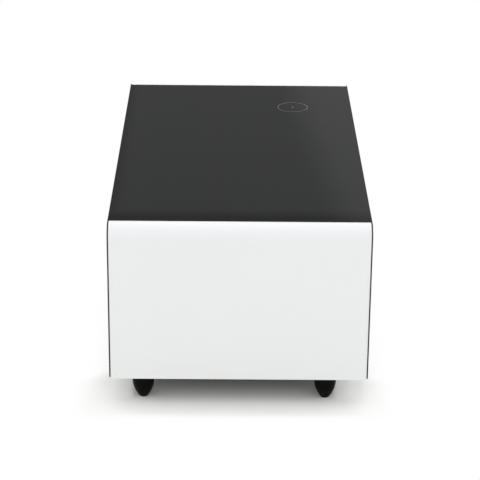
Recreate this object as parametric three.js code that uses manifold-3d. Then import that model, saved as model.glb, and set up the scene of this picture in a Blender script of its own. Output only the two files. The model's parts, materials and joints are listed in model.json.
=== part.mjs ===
// Refrigerator coffee table with a black glass top and white ends that round over into it.
// A fridge drawer with its cooling machine opens to the front, two storage drawers open to the back.
// Millimetres, +Z up. X runs along the table and the front faces -Y.
// The origin is on the floor under the middle.
import * as THREE from 'three';
import { mergeGeometries, mergeVertices } from 'three/addons/utils/BufferGeometryUtils.js';
import Module from 'manifold-3d';

const wasm = await Module();
wasm.setup();

// Driving dimensions of the table
const tableLength = 1121;
const tableWidth = 616;
const tableHeight = 457;
const footHeight = 66;
const topEdgeRadius = 35;
const facingCornerRadius = 10;
const endPanelThickness = 18;
const basePanelThickness = 16;
const partitionThickness = 16;
const glassThickness = 5;
const facingThickness = 3;
const facingGap = 2;
const seatGap = 0.3;
const cutOverrun = 4;
const frontRailHeight = 8;
const backRailHeight = 21;

// Driving dimensions of the fridge, which is as wide as the machine bays beside it let it be
const machineBayWidth = 224.5;
const fridgeDepth = 350;
const fridgeWall = 32;
const fridgeClearance = 2;
const doorCoreThickness = 30;
const gasketThickness = 9.6;

// Driving dimensions of the storage drawers and of the post between them
const centrePostWidth = 112;
const outletPanelWidth = 100;
const rearPartitionThickness = 6;
const fingerReach = 24;

// Facet counts
const edgeSteps = 5;
const cornerSteps = 2;
const roundSides = 20;
const smallSides = 6;

// Planes that the pieces share
const endX = tableLength / 2;
const sideY = tableWidth / 2;
const shellY = sideY - facingThickness - seatGap;
const bodyBottomZ = footHeight;
const baseTopZ = bodyBottomZ + basePanelThickness;
const endInnerX = endX - endPanelThickness;
const carcassX = endInnerX - seatGap;
const arcX = endX - topEdgeRadius;
const arcZ = tableHeight - topEdgeRadius;
const topX = arcX - seatGap;
const glassBottomZ = tableHeight - glassThickness;
const subTopTopZ = glassBottomZ - seatGap;
const subTopBottomZ = tableHeight - endPanelThickness;
const partitionTopZ = subTopBottomZ - seatGap;
const partitionBottomZ = baseTopZ + seatGap;
const partitionOuterX = endInnerX - machineBayWidth;
const partitionInnerX = partitionOuterX - partitionThickness;
const fridgeWidth = 2 * (partitionInnerX - fridgeClearance);
const bayCentreX = (partitionOuterX + endInnerX) / 2;
const frontFacingY = [-sideY, -sideY + facingThickness];
const backFacingY = [sideY - facingThickness, sideY];
const frontFacingTopZ = tableHeight - frontRailHeight - facingGap;
const backFacingTopZ = tableHeight - backRailHeight - facingGap;
const doorBackY = -shellY + doorCoreThickness;
const cabinetFrontY = doorBackY + gasketThickness + 2 * seatGap;
const cabinetBackY = cabinetFrontY + fridgeDepth;
const rearPartitionFrontY = cabinetBackY + fridgeClearance;
const rearPartitionY = [rearPartitionFrontY, rearPartitionFrontY + rearPartitionThickness];
const postX = centrePostWidth / 2;
const coreBottomZ = bodyBottomZ + fingerReach;

// Finishes
function finish(color, roughness, metalness) {
  return new THREE.MeshStandardMaterial({ color, roughness, metalness, flatShading: true });
}
const whiteLacquer = finish(0xecedef, 0.3, 0);
const blackGlass = finish(0x2a2c2b, 0.08, 0);
const blackTrim = finish(0x1c1d1e, 0.35, 0.2);
const blackPlastic = finish(0x161617, 0.55, 0);
const footRubber = finish(0x0f0f10, 0.6, 0);
const board = finish(0xd9d6cf, 0.7, 0);
const whitePlastic = finish(0xe4e6e8, 0.45, 0);
const clearPlastic = finish(0xcfd8dc, 0.25, 0);
const gasketRubber = finish(0x6f7375, 0.7, 0);
const zincSteel = finish(0xb4b8ba, 0.35, 0.9);
const aluminium = finish(0xc3c6c8, 0.4, 0.85);
const blackEnamel = finish(0x141415, 0.4, 0.3);
const copper = finish(0xb87046, 0.35, 0.95);
const circuitBoard = finish(0x1e5b38, 0.5, 0);
const ferrite = finish(0x4a4c50, 0.6, 0.2);
const diffuser = finish(0xf4f3ea, 0.5, 0);

// Solids: joining and cutting
function toSolid(geometry) {
  const bare = geometry.clone();
  bare.deleteAttribute('normal');
  bare.deleteAttribute('uv');
  const merged = mergeVertices(bare);
  const corners = merged.index.array;
  const triangles = [];
  for (let i = 0; i < corners.length; i += 3) {
    const [a, b, c] = corners.slice(i, i + 3);
    if (a !== b && b !== c && c !== a) triangles.push(a, b, c);
  }
  const vertProperties = new Float32Array(merged.attributes.position.array);
  const triVerts = new Uint32Array(triangles);
  return new wasm.Manifold(new wasm.Mesh({ numProp: 3, vertProperties, triVerts }));
}

function toGeometry(solid) {
  const mesh = solid.getMesh();
  const geometry = new THREE.BufferGeometry();
  geometry.setAttribute('position', new THREE.BufferAttribute(mesh.vertProperties, mesh.numProp));
  geometry.setIndex(new THREE.BufferAttribute(mesh.triVerts, 1));
  geometry.computeVertexNormals();
  return geometry;
}

function join(...pieces) {
  return toGeometry(pieces.map(toSolid).reduce((whole, piece) => whole.add(piece)));
}

function cut(piece, ...cutters) {
  return toGeometry(cutters.map(toSolid).reduce((rest, cutter) => rest.subtract(cutter), toSolid(piece)));
}

function sharedPart(piece, other) {
  return toGeometry(toSolid(piece).intersect(toSolid(other)));
}

// Basic forms, each given by its limits [low, high] along an axis
function block(xRange, yRange, zRange) {
  const sizes = [xRange, yRange, zRange].map(([low, high]) => high - low);
  const middles = [xRange, yRange, zRange].map(([low, high]) => (low + high) / 2);
  return new THREE.BoxGeometry(...sizes).translate(...middles);
}

function drumY(radius, [low, high], x, z, sides = roundSides) {
  return new THREE.CylinderGeometry(radius, radius, high - low, sides).translate(x, (low + high) / 2, z);
}

function drumZ(radius, [low, high], x, y, sides = roundSides) {
  const drum = new THREE.CylinderGeometry(radius, radius, high - low, sides).rotateX(Math.PI / 2);
  return drum.translate(x, y, (low + high) / 2);
}

function drumX(radius, [low, high], y, z, sides = roundSides) {
  const drum = new THREE.CylinderGeometry(radius, radius, high - low, sides).rotateZ(Math.PI / 2);
  return drum.translate((low + high) / 2, y, z);
}

function extrudeZ(shape, [low, high], curveSegments = cornerSteps) {
  const options = { depth: high - low, bevelEnabled: false, curveSegments };
  return new THREE.ExtrudeGeometry(shape, options).translate(0, 0, low);
}

// The shape's own x and y become X and Z
function extrudeY(shape, [low, high], curveSegments = cornerSteps) {
  const options = { depth: high - low, bevelEnabled: false, curveSegments };
  return new THREE.ExtrudeGeometry(shape, options).rotateX(Math.PI / 2).translate(0, high, 0);
}

// The shape's own x and y become Y and Z
function extrudeX(shape, [low, high], curveSegments = cornerSteps) {
  const options = { depth: high - low, bevelEnabled: false, curveSegments };
  const upright = new THREE.ExtrudeGeometry(shape, options).rotateX(Math.PI / 2);
  return upright.rotateZ(Math.PI / 2).translate(low, 0, 0);
}

function polygon(points) {
  return new THREE.Shape(points.map(([x, y]) => new THREE.Vector2(x, y)));
}

function roundedRectangle([left, right], [bottom, top], radius, path = new THREE.Shape()) {
  path.absarc(right - radius, bottom + radius, radius, -Math.PI / 2, 0);
  path.absarc(right - radius, top - radius, radius, 0, Math.PI / 2);
  path.absarc(left + radius, top - radius, radius, Math.PI / 2, Math.PI);
  path.absarc(left + radius, bottom + radius, radius, Math.PI, Math.PI * 1.5);
  return path;
}

// A circle of straight sides, for holes and ducts
function circle(radius, sides, x = 0, y = 0, path = new THREE.Path()) {
  const turn = 2 * Math.PI / sides;
  for (let i = 0; i < sides; i++) {
    const point = [x + radius * Math.cos(i * turn), y + radius * Math.sin(i * turn)];
    if (i) path.lineTo(...point);
    else path.moveTo(...point);
  }
  return path;
}

// A rounded rectangle with a smaller one cut out, so that a frame of even width is left
function frameShape([left, right], [bottom, top], radius, width) {
  const outer = roundedRectangle([left, right], [bottom, top], radius);
  const innerRadius = Math.max(radius - width, radius / 4);
  const [holeX, holeZ] = [[left + width, right - width], [bottom + width, top - width]];
  outer.holes.push(roundedRectangle(holeX, holeZ, innerRadius, new THREE.Path()));
  return outer;
}

// A profile of [radius, height] pairs, turned about Z
function turned(profile, sides = roundSides) {
  const points = profile.map(([radius, height]) => new THREE.Vector2(radius, height));
  return new THREE.LatheGeometry(points, sides).rotateX(Math.PI / 2);
}

// A closed skin through rings of as many points each, counter-clockwise seen from the last ring's end
function loft(rings) {
  const count = rings[0].length;
  const positions = rings.flat().flatMap((point) => point.toArray());
  const corners = [];
  for (let start = 0; start + count < rings.length * count; start += count) {
    for (let i = 0; i < count; i++) {
      const [a, b] = [start + i, start + (i + 1) % count];
      corners.push(a, b, b + count, a, b + count, a + count);
    }
  }
  const last = (rings.length - 1) * count;
  for (let i = 1; i + 1 < count; i++) {
    corners.push(0, i + 1, i, last, last + i, last + i + 1);
  }
  const geometry = new THREE.BufferGeometry();
  geometry.setAttribute('position', new THREE.Float32BufferAttribute(positions, 3));
  geometry.setIndex(corners);
  return geometry;
}

function tubeAlong(path, radius, steps) {
  const section = circle(radius, smallSides, 0, 0, new THREE.Shape());
  return new THREE.ExtrudeGeometry(section, { steps, extrudePath: path });
}

function tube(points, radius, steps) {
  const stops = points.map((point) => new THREE.Vector3(...point));
  return tubeAlong(new THREE.CatmullRomCurve3(stops), radius, steps);
}

// Limits from inner to outer distance, on the +X side for side 1 and on the -X side for side -1
function span(side, inner, outer) {
  return side > 0 ? [inner, outer] : [-outer, -inner];
}

// Evenly spread places from low to high, at about the given pitch
function spread([low, high], pitch) {
  const count = Math.round((high - low) / pitch);
  return Array.from({ length: count + 1 }, (_, index) => low + (high - low) * index / count);
}

function addPart(parent, name, geometry, material) {
  const mesh = new THREE.Mesh(geometry, material);
  mesh.name = name;
  parent.add(mesh);
  return mesh;
}

const table = new THREE.Group();

// Outline of the facings seen from the front: round upper edges that meet the glass, rounded lower corners
function bodyOutline() {
  const outline = new THREE.Shape();
  const cornerX = endX - facingCornerRadius;
  const cornerZ = bodyBottomZ + facingCornerRadius;
  outline.absarc(cornerX, cornerZ, facingCornerRadius, -Math.PI / 2, 0);
  outline.absarc(arcX, arcZ, topEdgeRadius, 0, Math.PI / 2);
  outline.absarc(-arcX, arcZ, topEdgeRadius, Math.PI / 2, Math.PI);
  outline.absarc(-cornerX, cornerZ, facingCornerRadius, Math.PI, Math.PI * 1.5);
  return outline;
}

// A thin facing of the long side: the body outline between the given limits
function facing([near, far], xRange, zRange) {
  const sheet = extrudeY(bodyOutline(), [near, far], edgeSteps);
  return sharedPart(sheet, block(xRange, [near - cutOverrun, far + cutOverrun], zRange));
}

// End panels: one bent profile each, of even thickness round the upper edge and cut square below
function endPanel() {
  const profile = new THREE.Shape();
  profile.moveTo(endX, bodyBottomZ);
  profile.absarc(arcX, arcZ, topEdgeRadius, 0, Math.PI / 2);
  profile.absarc(arcX, arcZ, topEdgeRadius - endPanelThickness, Math.PI / 2, 0, true);
  profile.lineTo(endInnerX, bodyBottomZ);
  return extrudeY(profile, [-shellY, shellY], edgeSteps);
}
addPart(table, 'right_end_panel', endPanel(), whiteLacquer);
addPart(table, 'left_end_panel', endPanel(), whiteLacquer).rotation.z = Math.PI;

// Glass top, flush with the round upper edges and as wide as the facings' outer faces
const glassCornerRadius = 3;
const glassArris = 0.6;
function glassTop() {
  const [halfX, halfY] = [topX - glassArris, sideY - glassArris];
  const plan = roundedRectangle([-halfX, halfX], [-halfY, halfY], glassCornerRadius);
  const pane = new THREE.ExtrudeGeometry(plan, {
    depth: glassThickness - 2 * glassArris,
    bevelThickness: glassArris,
    bevelSize: glassArris,
    bevelSegments: 2,
    curveSegments: cornerSteps,
  });
  return pane.translate(0, 0, glassBottomZ + glassArris);
}
addPart(table, 'glass_top', glassTop(), blackGlass);

// Top rails: the leg under the glass carries it, the outer leg closes the long side above the facings
const railLegWidth = 20;
const railLegZ = [subTopTopZ - facingThickness, subTopTopZ];
function topRail(facingY, height, side) {
  const pastX = [-endX - cutOverrun, endX + cutOverrun];
  const pastY = [-sideY - cutOverrun, sideY + cutOverrun];
  const pastTopZ = tableHeight + cutOverrun;
  const face = facing(facingY, pastX, [tableHeight - height, pastTopZ]);
  const glassRoom = block([-arcX, arcX], pastY, [subTopTopZ, pastTopZ]);
  const leg = block([-topX, topX], span(side, shellY - railLegWidth, sideY - facingThickness / 2), railLegZ);
  return join(cut(face, glassRoom), leg);
}
addPart(table, 'front_top_rail', topRail(frontFacingY, frontRailHeight, -1), blackTrim);
addPart(table, 'back_top_rail', topRail(backFacingY, backRailHeight, 1), blackTrim);

// Light strips: in the front edge of the sub-top, and under it at the back
const lightHeight = 4;
const lightDepth = 8;
const lightEndInset = 20;
const frontLightTopZ = railLegZ[0] - seatGap;
function lightStrip(topZ, side) {
  const [near, far] = [shellY - lightDepth, shellY - lightHeight / 2];
  const profile = new THREE.Shape();
  profile.moveTo(side * near, topZ);
  profile.lineTo(side * near, topZ - lightHeight);
  profile.lineTo(side * far, topZ - lightHeight);
  profile.absarc(side * far, topZ - lightHeight / 2, lightHeight / 2, -Math.PI / 2, Math.PI / 2, side < 0);
  return extrudeX(profile, [-topX + lightEndInset, topX - lightEndInset]);
}
addPart(table, 'led_strip_front', lightStrip(frontLightTopZ, -1), diffuser);
addPart(table, 'led_strip_back', lightStrip(partitionTopZ, 1), diffuser);

// Charging coil under the printed ring, in a round pocket of the sub-top
const coilEndInset = 230.5;
const coilFrontInset = 161;
const coilRadius = 44;
const coilBoreRadius = 12;
const coilHeight = 6;
const ferriteHeight = 2.5;
const windingInset = 3;
const coilX = endX - coilEndInset;
const coilY = -sideY + coilFrontInset;
function chargingCoil() {
  const windingRadius = coilRadius - windingInset;
  return turned([
    [0, 0], [coilRadius, 0], [coilRadius, ferriteHeight],
    [windingRadius, ferriteHeight], [windingRadius, coilHeight],
    [coilBoreRadius, coilHeight], [coilBoreRadius, ferriteHeight], [0, ferriteHeight],
  ]);
}
addPart(table, 'charging_coil', chargingCoil(), ferrite).position.set(coilX, coilY, subTopTopZ - coilHeight);

// Touch board under the glass, near the front edge
const touchBoardLength = 180;
const touchBoardWidth = 40;
const touchBoardInset = 12;
const touchBoardThickness = 1.6;
const touchPadRadius = 12;
const touchPadPitch = 36;
const touchPadHeight = 1;
const touchBoardX = [-touchBoardLength / 2, touchBoardLength / 2];
const touchBoardFrontY = -shellY + railLegWidth + touchBoardInset;
const touchBoardY = [touchBoardFrontY, touchBoardFrontY + touchBoardWidth];
function touchBoard() {
  const topZ = subTopTopZ - touchPadHeight;
  const middleY = (touchBoardY[0] + touchBoardY[1]) / 2;
  const sheet = block(touchBoardX, touchBoardY, [topZ - touchBoardThickness, topZ]);
  const padSpan = [touchBoardX[0] + 1.5 * touchPadRadius, touchBoardX[1] - 1.5 * touchPadRadius];
  const padZ = [topZ - touchBoardThickness / 2, subTopTopZ];
  const pads = spread(padSpan, touchPadPitch).map((x) => {
    return drumZ(touchPadRadius, padZ, x, middleY, roundSides / 2);
  });
  return join(sheet, ...pads);
}
addPart(table, 'touch_board', touchBoard(), circuitBoard);

// Sub-top: carries the glass between the end panels
function subTop() {
  const slab = block([-topX, topX], [-shellY, shellY], [subTopBottomZ, subTopTopZ]);
  const legY = shellY - railLegWidth - seatGap;
  const legZ = [railLegZ[0] - seatGap, tableHeight];
  const pastX = [-topX - cutOverrun, topX + cutOverrun];
  const lightZ = [frontLightTopZ - lightHeight - seatGap, tableHeight];
  const touchZ = subTopTopZ - touchPadHeight - touchBoardThickness - seatGap;
  const grow = ([low, high]) => [low - seatGap, high + seatGap];
  return cut(
    slab,
    block(pastX, [legY, sideY], legZ),
    block(pastX, [-sideY, -legY], legZ),
    block(pastX, [-sideY, -shellY + lightDepth + seatGap], lightZ),
    block(grow(touchBoardX), grow(touchBoardY), [touchZ, tableHeight]),
    drumZ(coilRadius + seatGap, [subTopTopZ - coilHeight - seatGap, tableHeight], coilX, coilY),
  );
}
addPart(table, 'sub_top', subTop(), board);

// Base panel: it stops short of both long sides, so that fingers reach behind the drawer facings from
// below and air reaches the bays, and it has air slots under the cooling machine
const airSlotWidth = 4;
const airSlotLength = 90;
const airSlotPitch = 14;
function airSlots() {
  const zRange = [bodyBottomZ - cutOverrun, baseTopZ + cutOverrun];
  const xRange = [-bayCentreX - airSlotLength / 2, -bayCentreX + airSlotLength / 2];
  const rows = spread([compressorY - airSlotLength / 2, compressorY + airSlotLength / 2], airSlotPitch);
  const slot = (y) => block(xRange, [y - airSlotWidth / 2, y + airSlotWidth / 2], zRange);
  return mergeGeometries(rows.map(slot));
}
function basePanel() {
  const edgeY = shellY - fingerReach;
  return cut(block([-carcassX, carcassX], [-edgeY, edgeY], [bodyBottomZ, baseTopZ]), airSlots());
}

// Feet: a dome that swells from a blunt tip, as a power of the height left, into a short stem
const footRadius = 26.5;
const footTipRadius = 11;
const footTipChamfer = 2;
const footDomeHeight = 48;
const footDomePower = 2.3;
const footEndInset = 47;
const footFrontInset = 99;
const footBackInset = 79;
const footSteps = 7;
function foot() {
  const profile = [[0, 0], [footTipRadius - footTipChamfer, 0]];
  for (let step = 0; step <= footSteps; step++) {
    const share = step / footSteps;
    const radius = footRadius - (footRadius - footTipRadius) * (1 - share) ** footDomePower;
    profile.push([radius, footTipChamfer + (footDomeHeight - footTipChamfer) * share]);
  }
  profile.push([footRadius, footHeight - seatGap], [0, footHeight - seatGap]);
  return turned(profile);
}
for (const [end, endSign] of [['left', -1], ['right', 1]]) {
  const x = endSign * (endX - footEndInset);
  addPart(table, `foot_front_${end}`, foot(), footRubber).position.set(x, -sideY + footFrontInset, 0);
  addPart(table, `foot_back_${end}`, foot(), footRubber).position.set(x, sideY - footBackInset, 0);
}

// Fridge cabinet: an insulated box with a moulded liner, open to the front
const cavityCornerRadius = 18;
const cabinetTopZ = subTopBottomZ - fridgeClearance;
const cavityX = fridgeWidth / 2 - fridgeWall;
const cavityZ = [partitionBottomZ + fridgeWall, cabinetTopZ - fridgeWall];
const cavityBackY = cabinetBackY - fridgeWall;
function fridgeCabinet() {
  const outerX = [-fridgeWidth / 2, fridgeWidth / 2];
  const shell = block(outerX, [cabinetFrontY, cabinetBackY], [partitionBottomZ, cabinetTopZ]);
  const liner = roundedRectangle([-cavityX, cavityX], cavityZ, cavityCornerRadius);
  return cut(shell, extrudeY(liner, [cabinetFrontY - cutOverrun, cavityBackY]));
}
addPart(table, 'fridge_cabinet', fridgeCabinet(), whitePlastic);

// Evaporator plate on the back wall, with the channel pressed into it as one winding ridge
const plateThickness = 2;
const plateSideInset = 48;
const plateEdgeInset = 36;
const channelWidth = 8;
const channelRows = 5;
function evaporatorPlate() {
  const plateX = cavityX - plateSideInset;
  const [low, high] = [cavityZ[0] + plateEdgeInset, cavityZ[1] - plateEdgeInset];
  const backY = cavityBackY - seatGap;
  const sheet = block([-plateX, plateX], [backY - plateThickness, backY], [low, high]);
  const ridgeY = [backY - 2 * plateThickness, backY - plateThickness / 2];
  const runX = plateX - 2 * channelWidth;
  const rowGap = (high - low) / channelRows;
  const ridges = [];
  for (let row = 0; row < channelRows; row++) {
    const z = low + rowGap * (row + 0.5);
    ridges.push(block([-runX, runX], ridgeY, [z - channelWidth / 2, z + channelWidth / 2]));
    if (row + 1 < channelRows) {
      const side = row % 2 ? -1 : 1;
      const bendX = span(side, runX - channelWidth, runX);
      ridges.push(block(bendX, ridgeY, [z, z + rowGap]));
    }
  }
  return join(sheet, ...ridges);
}
addPart(table, 'evaporator_plate', evaporatorPlate(), aluminium);

// Slide members: rolled channels, nested so that each runs in the one before it.
// A member stands on a wall at x = 0 and looks to -X, with its length along Y and its middle height at z = 0.
const slideHeight = 35;
const slideDepth = 12.4;
const slideMetal = 1.2;
const slideBend = 0.8;
const slideHoleRadius = 2.2;
const slideHoleInset = 30;
const slideStep = slideMetal + seatGap;
function channelProfile([webNear, flangeEnd], halfHeight) {
  const [back, front] = [-webNear, -flangeEnd];
  const profile = new THREE.Shape();
  const side = Math.sign(front - back);
  const inner = back + side * slideMetal;
  const bendX = back + side * slideBend;
  profile.moveTo(front, -halfHeight);
  profile.lineTo(front, -halfHeight + slideMetal);
  profile.lineTo(inner, -halfHeight + slideMetal);
  profile.lineTo(inner, halfHeight - slideMetal);
  profile.lineTo(front, halfHeight - slideMetal);
  profile.lineTo(front, halfHeight);
  profile.lineTo(bendX, halfHeight);
  profile.quadraticCurveTo(back, halfHeight, back, halfHeight - slideBend);
  profile.lineTo(back, -halfHeight + slideBend);
  profile.quadraticCurveTo(back, -halfHeight, bendX, -halfHeight);
  return profile;
}
function slideMember(webToFlangeEnd, halfHeight, length, holeShares) {
  const channel = extrudeY(channelProfile(webToFlangeEnd, halfHeight), [-length / 2, length / 2]);
  const holeX = [-slideDepth - cutOverrun, cutOverrun];
  const holes = holeShares.map((share) => {
    return drumX(slideHoleRadius, holeX, share * (length / 2 - slideHoleInset), 0, smallSides);
  });
  return holes.length ? cut(channel, ...holes) : channel;
}
const wallHoleShares = [-1, 0, 1];
const drawerHoleShares = [-1, 1];
const outerMember = (length, reach) => slideMember([0, reach], slideHeight / 2, length, wallHoleShares);
const threeMemberReach = slideDepth - 3 * slideStep;
const twoMemberReach = slideDepth - 2 * slideStep;
const middleMember = (length) => {
  const webToFlangeEnd = [slideMetal + slideStep, slideDepth - slideStep];
  return slideMember(webToFlangeEnd, slideHeight / 2 - slideStep, length, []);
};
const innerMember = (length, steps, flangeEnd) => {
  return slideMember([slideDepth, flangeEnd], slideHeight / 2 - steps * slideStep, length, drawerHoleShares);
};
function addMember(parent, name, geometry, wallX, facesRight, y, z) {
  const mesh = addPart(parent, name, geometry, zincSteel);
  mesh.position.set(wallX, y, z);
  if (facesRight) mesh.rotation.z = Math.PI;
}

// Fridge drawer: glass facing, insulated core, gasket, moulded bin, and a three-member slide on each side
const fridgeDrawer = new THREE.Group();
const fridgeFacingX = partitionInnerX + partitionThickness / 2;
addPart(
  fridgeDrawer,
  'fridge_front_glass',
  facing(frontFacingY, [-fridgeFacingX, fridgeFacingX], [bodyBottomZ - cutOverrun, frontFacingTopZ]),
  blackGlass,
);

const coreCornerRadius = 8;
const coreTopClearance = 5;
const coreX = fridgeWidth / 2;
const coreZ = [coreBottomZ, cabinetTopZ - coreTopClearance];
const gasketInset = 8;
const gasketWidth = 14;
const gasketRibWidth = 7.4;
const gasketRibHeight = 3.7;
const gasketNeckInset = 3;
const gasketLipHeight = 3;
const gasketCornerRadius = 12;
function gasketFrame(inset, width, yRange) {
  const margin = gasketInset + inset;
  const xRange = [-coreX + margin, coreX - margin];
  const zRange = [coreZ[0] + margin, coreZ[1] - margin];
  return extrudeY(frameShape(xRange, zRange, gasketCornerRadius - inset, width), yRange, 1);
}
const gasketRibInset = (gasketWidth - gasketRibWidth) / 2;
function frontCore() {
  const slab = extrudeY(roundedRectangle([-coreX, coreX], coreZ, coreCornerRadius), [-shellY, doorBackY]);
  const grooveY = [doorBackY - gasketRibHeight, doorBackY + cutOverrun];
  return cut(slab, gasketFrame(gasketRibInset - seatGap, gasketRibWidth + 2 * seatGap, grooveY));
}
addPart(fridgeDrawer, 'fridge_front_core', frontCore(), whitePlastic);

function gasket() {
  const [back, front] = [doorBackY + seatGap, doorBackY + seatGap + gasketThickness];
  const halfLip = gasketLipHeight / 2;
  return join(
    gasketFrame(gasketRibInset, gasketRibWidth, [back - gasketRibHeight, front - halfLip]),
    gasketFrame(0, gasketWidth, [back, back + gasketLipHeight]),
    gasketFrame(gasketNeckInset / 2, gasketWidth - gasketNeckInset, [back + halfLip, front - halfLip]),
    gasketFrame(0, gasketWidth, [front - gasketLipHeight, front]),
  );
}
addPart(fridgeDrawer, 'fridge_gasket', gasket(), gasketRubber);

const binWall = 3;
const binDraft = 10;
const binBottomClearance = 10;
const binTopClearance = 24;
const binBackClearance = 27.9;
const binCornerRadius = 34;
const binRimWidth = 10;
const binLipHeight = 14;
const binFlapHeight = 62;
const binFlapInset = 12;
const binRibHeight = 3;
const binRibPitch = 60;
const binX = cavityX - slideDepth - 2 * seatGap;
const binY = [doorBackY + seatGap, cavityBackY - binBackClearance];
const binZ = [cavityZ[0] + binBottomClearance, cavityZ[1] - binTopClearance];
function binRing(inset, radius, z) {
  const plan = roundedRectangle([-binX + inset, binX - inset], [binY[0] + inset, binY[1] - inset], radius);
  return plan.getPoints(cornerSteps).map((point) => new THREE.Vector3(point.x, point.y, z));
}
function fridgeBin() {
  const foldedRadius = binCornerRadius - binRimWidth;
  const tub = loft([
    binRing(binRimWidth + binDraft, foldedRadius, binZ[0]),
    binRing(binRimWidth, binCornerRadius, binZ[1]),
  ]);
  const hollow = loft([
    binRing(binRimWidth + binDraft + binWall, foldedRadius, binZ[0] + binWall),
    binRing(binRimWidth + binWall, binCornerRadius, binZ[1] + cutOverrun),
  ]);
  const rim = loft([binRing(0, binCornerRadius, binZ[1] - binWall), binRing(0, binCornerRadius, binZ[1])]);
  const lipShape = frameShape([-binX, binX], binY, binCornerRadius, binWall);
  const lip = extrudeZ(lipShape, [binZ[1] - binLipHeight, binZ[1] - binWall / 2]);
  const flapY = [binY[0] + binFlapInset + binCornerRadius, binY[1] - binFlapInset - binCornerRadius];
  const flaps = [-1, 1].map((side) => {
    return block(span(side, binX - binWall, binX), flapY, [binZ[1] - binFlapHeight, binZ[1] - binWall / 2]);
  });
  const ribX = binX - binRimWidth - binDraft - binCornerRadius;
  const ribEndInset = binRimWidth + binDraft + binWall / 2;
  const ribY = [binY[0] + ribEndInset, binY[1] - ribEndInset];
  const ribZ = [binZ[0] + binWall / 2, binZ[0] + binWall + binRibHeight];
  const ribs = spread([-ribX, ribX], binRibPitch).map((x) => {
    return block([x - binWall / 2, x + binWall / 2], ribY, ribZ);
  });
  return join(cut(join(tub, rim), hollow), lip, ...flaps, ...ribs);
}
addPart(fridgeDrawer, 'fridge_bin', fridgeBin(), clearPlastic);

// The drawer travels as far as its three-member slides are long
const fridgeSlideFrontInset = 4;
const fridgeSlideBackInset = 14;
const fridgeSlideLength = cavityBackY - fridgeSlideBackInset - cabinetFrontY - fridgeSlideFrontInset;
const fridgeSlideY = cabinetFrontY + fridgeSlideFrontInset + fridgeSlideLength / 2;
const fridgeSlideZ = binZ[1] - binFlapHeight + slideHeight / 2;
const fridgeSlideWallX = cavityX - seatGap;
const middleRails = new THREE.Group();
for (const [side, sideSign] of [['left', -1], ['right', 1]]) {
  const place = [sideSign * fridgeSlideWallX, sideSign < 0, fridgeSlideY, fridgeSlideZ];
  addMember(table, `fridge_outer_rail_${side}`, outerMember(fridgeSlideLength, threeMemberReach), ...place);
  addMember(middleRails, `fridge_middle_rail_${side}`, middleMember(fridgeSlideLength), ...place);
  const inner = innerMember(fridgeSlideLength, 2, 2 * slideMetal + 2 * slideStep);
  addMember(fridgeDrawer, `fridge_inner_rail_${side}`, inner, ...place);
}
table.add(fridgeDrawer, middleRails);

// Partitions beside and behind the fridge, with the holes that pipes and wires pass
const pipeRadius = 4;
const pipeHoleClearance = 3;
const pipeHoleRise = 248;
const suctionHoleInset = 47;
const capillaryHoleInset = 77;
const wireHoleFrontInset = 105.2;
const wireHoleRise = 48;
const wireHoleRadius = 12;
const pipeHoleZ = baseTopZ + pipeHoleRise;
const suctionHoleY = rearPartitionY[0] - suctionHoleInset;
const capillaryHoleY = rearPartitionY[0] - capillaryHoleInset;
const wireHoleY = -shellY + wireHoleFrontInset;
const wireHoleZ = baseTopZ + wireHoleRise;
function partition(side, holes) {
  const yRange = [-shellY, rearPartitionY[0] - seatGap];
  const wallX = span(side, partitionInnerX, partitionOuterX);
  const pastX = span(side, partitionInnerX - cutOverrun, partitionOuterX + cutOverrun);
  const wall = block(wallX, yRange, [partitionBottomZ, partitionTopZ]);
  return cut(wall, ...holes.map(({ y, z, radius }) => drumX(radius, pastX, y, z, roundSides / 2)));
}
const pipeHoleRadius = pipeRadius + pipeHoleClearance;
const pipeHoles = [suctionHoleY, capillaryHoleY].map((y) => ({ y, z: pipeHoleZ, radius: pipeHoleRadius }));
const wireHole = { y: wireHoleY, z: wireHoleZ, radius: wireHoleRadius };
addPart(table, 'left_partition', partition(-1, [...pipeHoles, wireHole]), board);
addPart(table, 'right_partition', partition(1, [wireHole]), board);

function rearPartition() {
  const innerArcRadius = topEdgeRadius - endPanelThickness - seatGap;
  const outline = new THREE.Shape();
  outline.moveTo(-carcassX, partitionBottomZ);
  outline.lineTo(carcassX, partitionBottomZ);
  outline.absarc(arcX, arcZ, innerArcRadius, 0, Math.PI / 2);
  outline.absarc(-arcX, arcZ, innerArcRadius, Math.PI / 2, Math.PI);
  const wall = extrudeY(outline, rearPartitionY, edgeSteps);
  const passY = [rearPartitionY[0] - cutOverrun, rearPartitionY[1] + cutOverrun];
  return cut(wall, drumY(wireHoleRadius, passY, 0, inletZ, roundSides / 2));
}

// Centre post between the storage drawers: a channel that opens to the back and holds the sockets
const postWall = 12;
const postY = [rearPartitionY[1] + seatGap, shellY];
const inletRise = 50;
const inletZ = bodyBottomZ + inletRise;
function centrePost() {
  const [web, open] = [postY[0] + postWall, postY[1]];
  const inner = postX - postWall;
  const plan = polygon([
    [-postX, postY[0]], [postX, postY[0]], [postX, open], [inner, open],
    [inner, web], [-inner, web], [-inner, open], [-postX, open],
  ]);
  const passY = [postY[0] - cutOverrun, web + cutOverrun];
  const lightRoom = block(
    [-postX - cutOverrun, postX + cutOverrun],
    [shellY - lightDepth - seatGap, shellY + cutOverrun],
    [partitionTopZ - lightHeight - seatGap, partitionTopZ + cutOverrun],
  );
  return cut(
    extrudeZ(plan, [partitionBottomZ, partitionTopZ]),
    drumY(wireHoleRadius, passY, 0, inletZ, roundSides / 2),
    lightRoom,
  );
}
addPart(table, 'rear_partition', rearPartition(), board);
addPart(table, 'centre_post', centrePost(), board);

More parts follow.
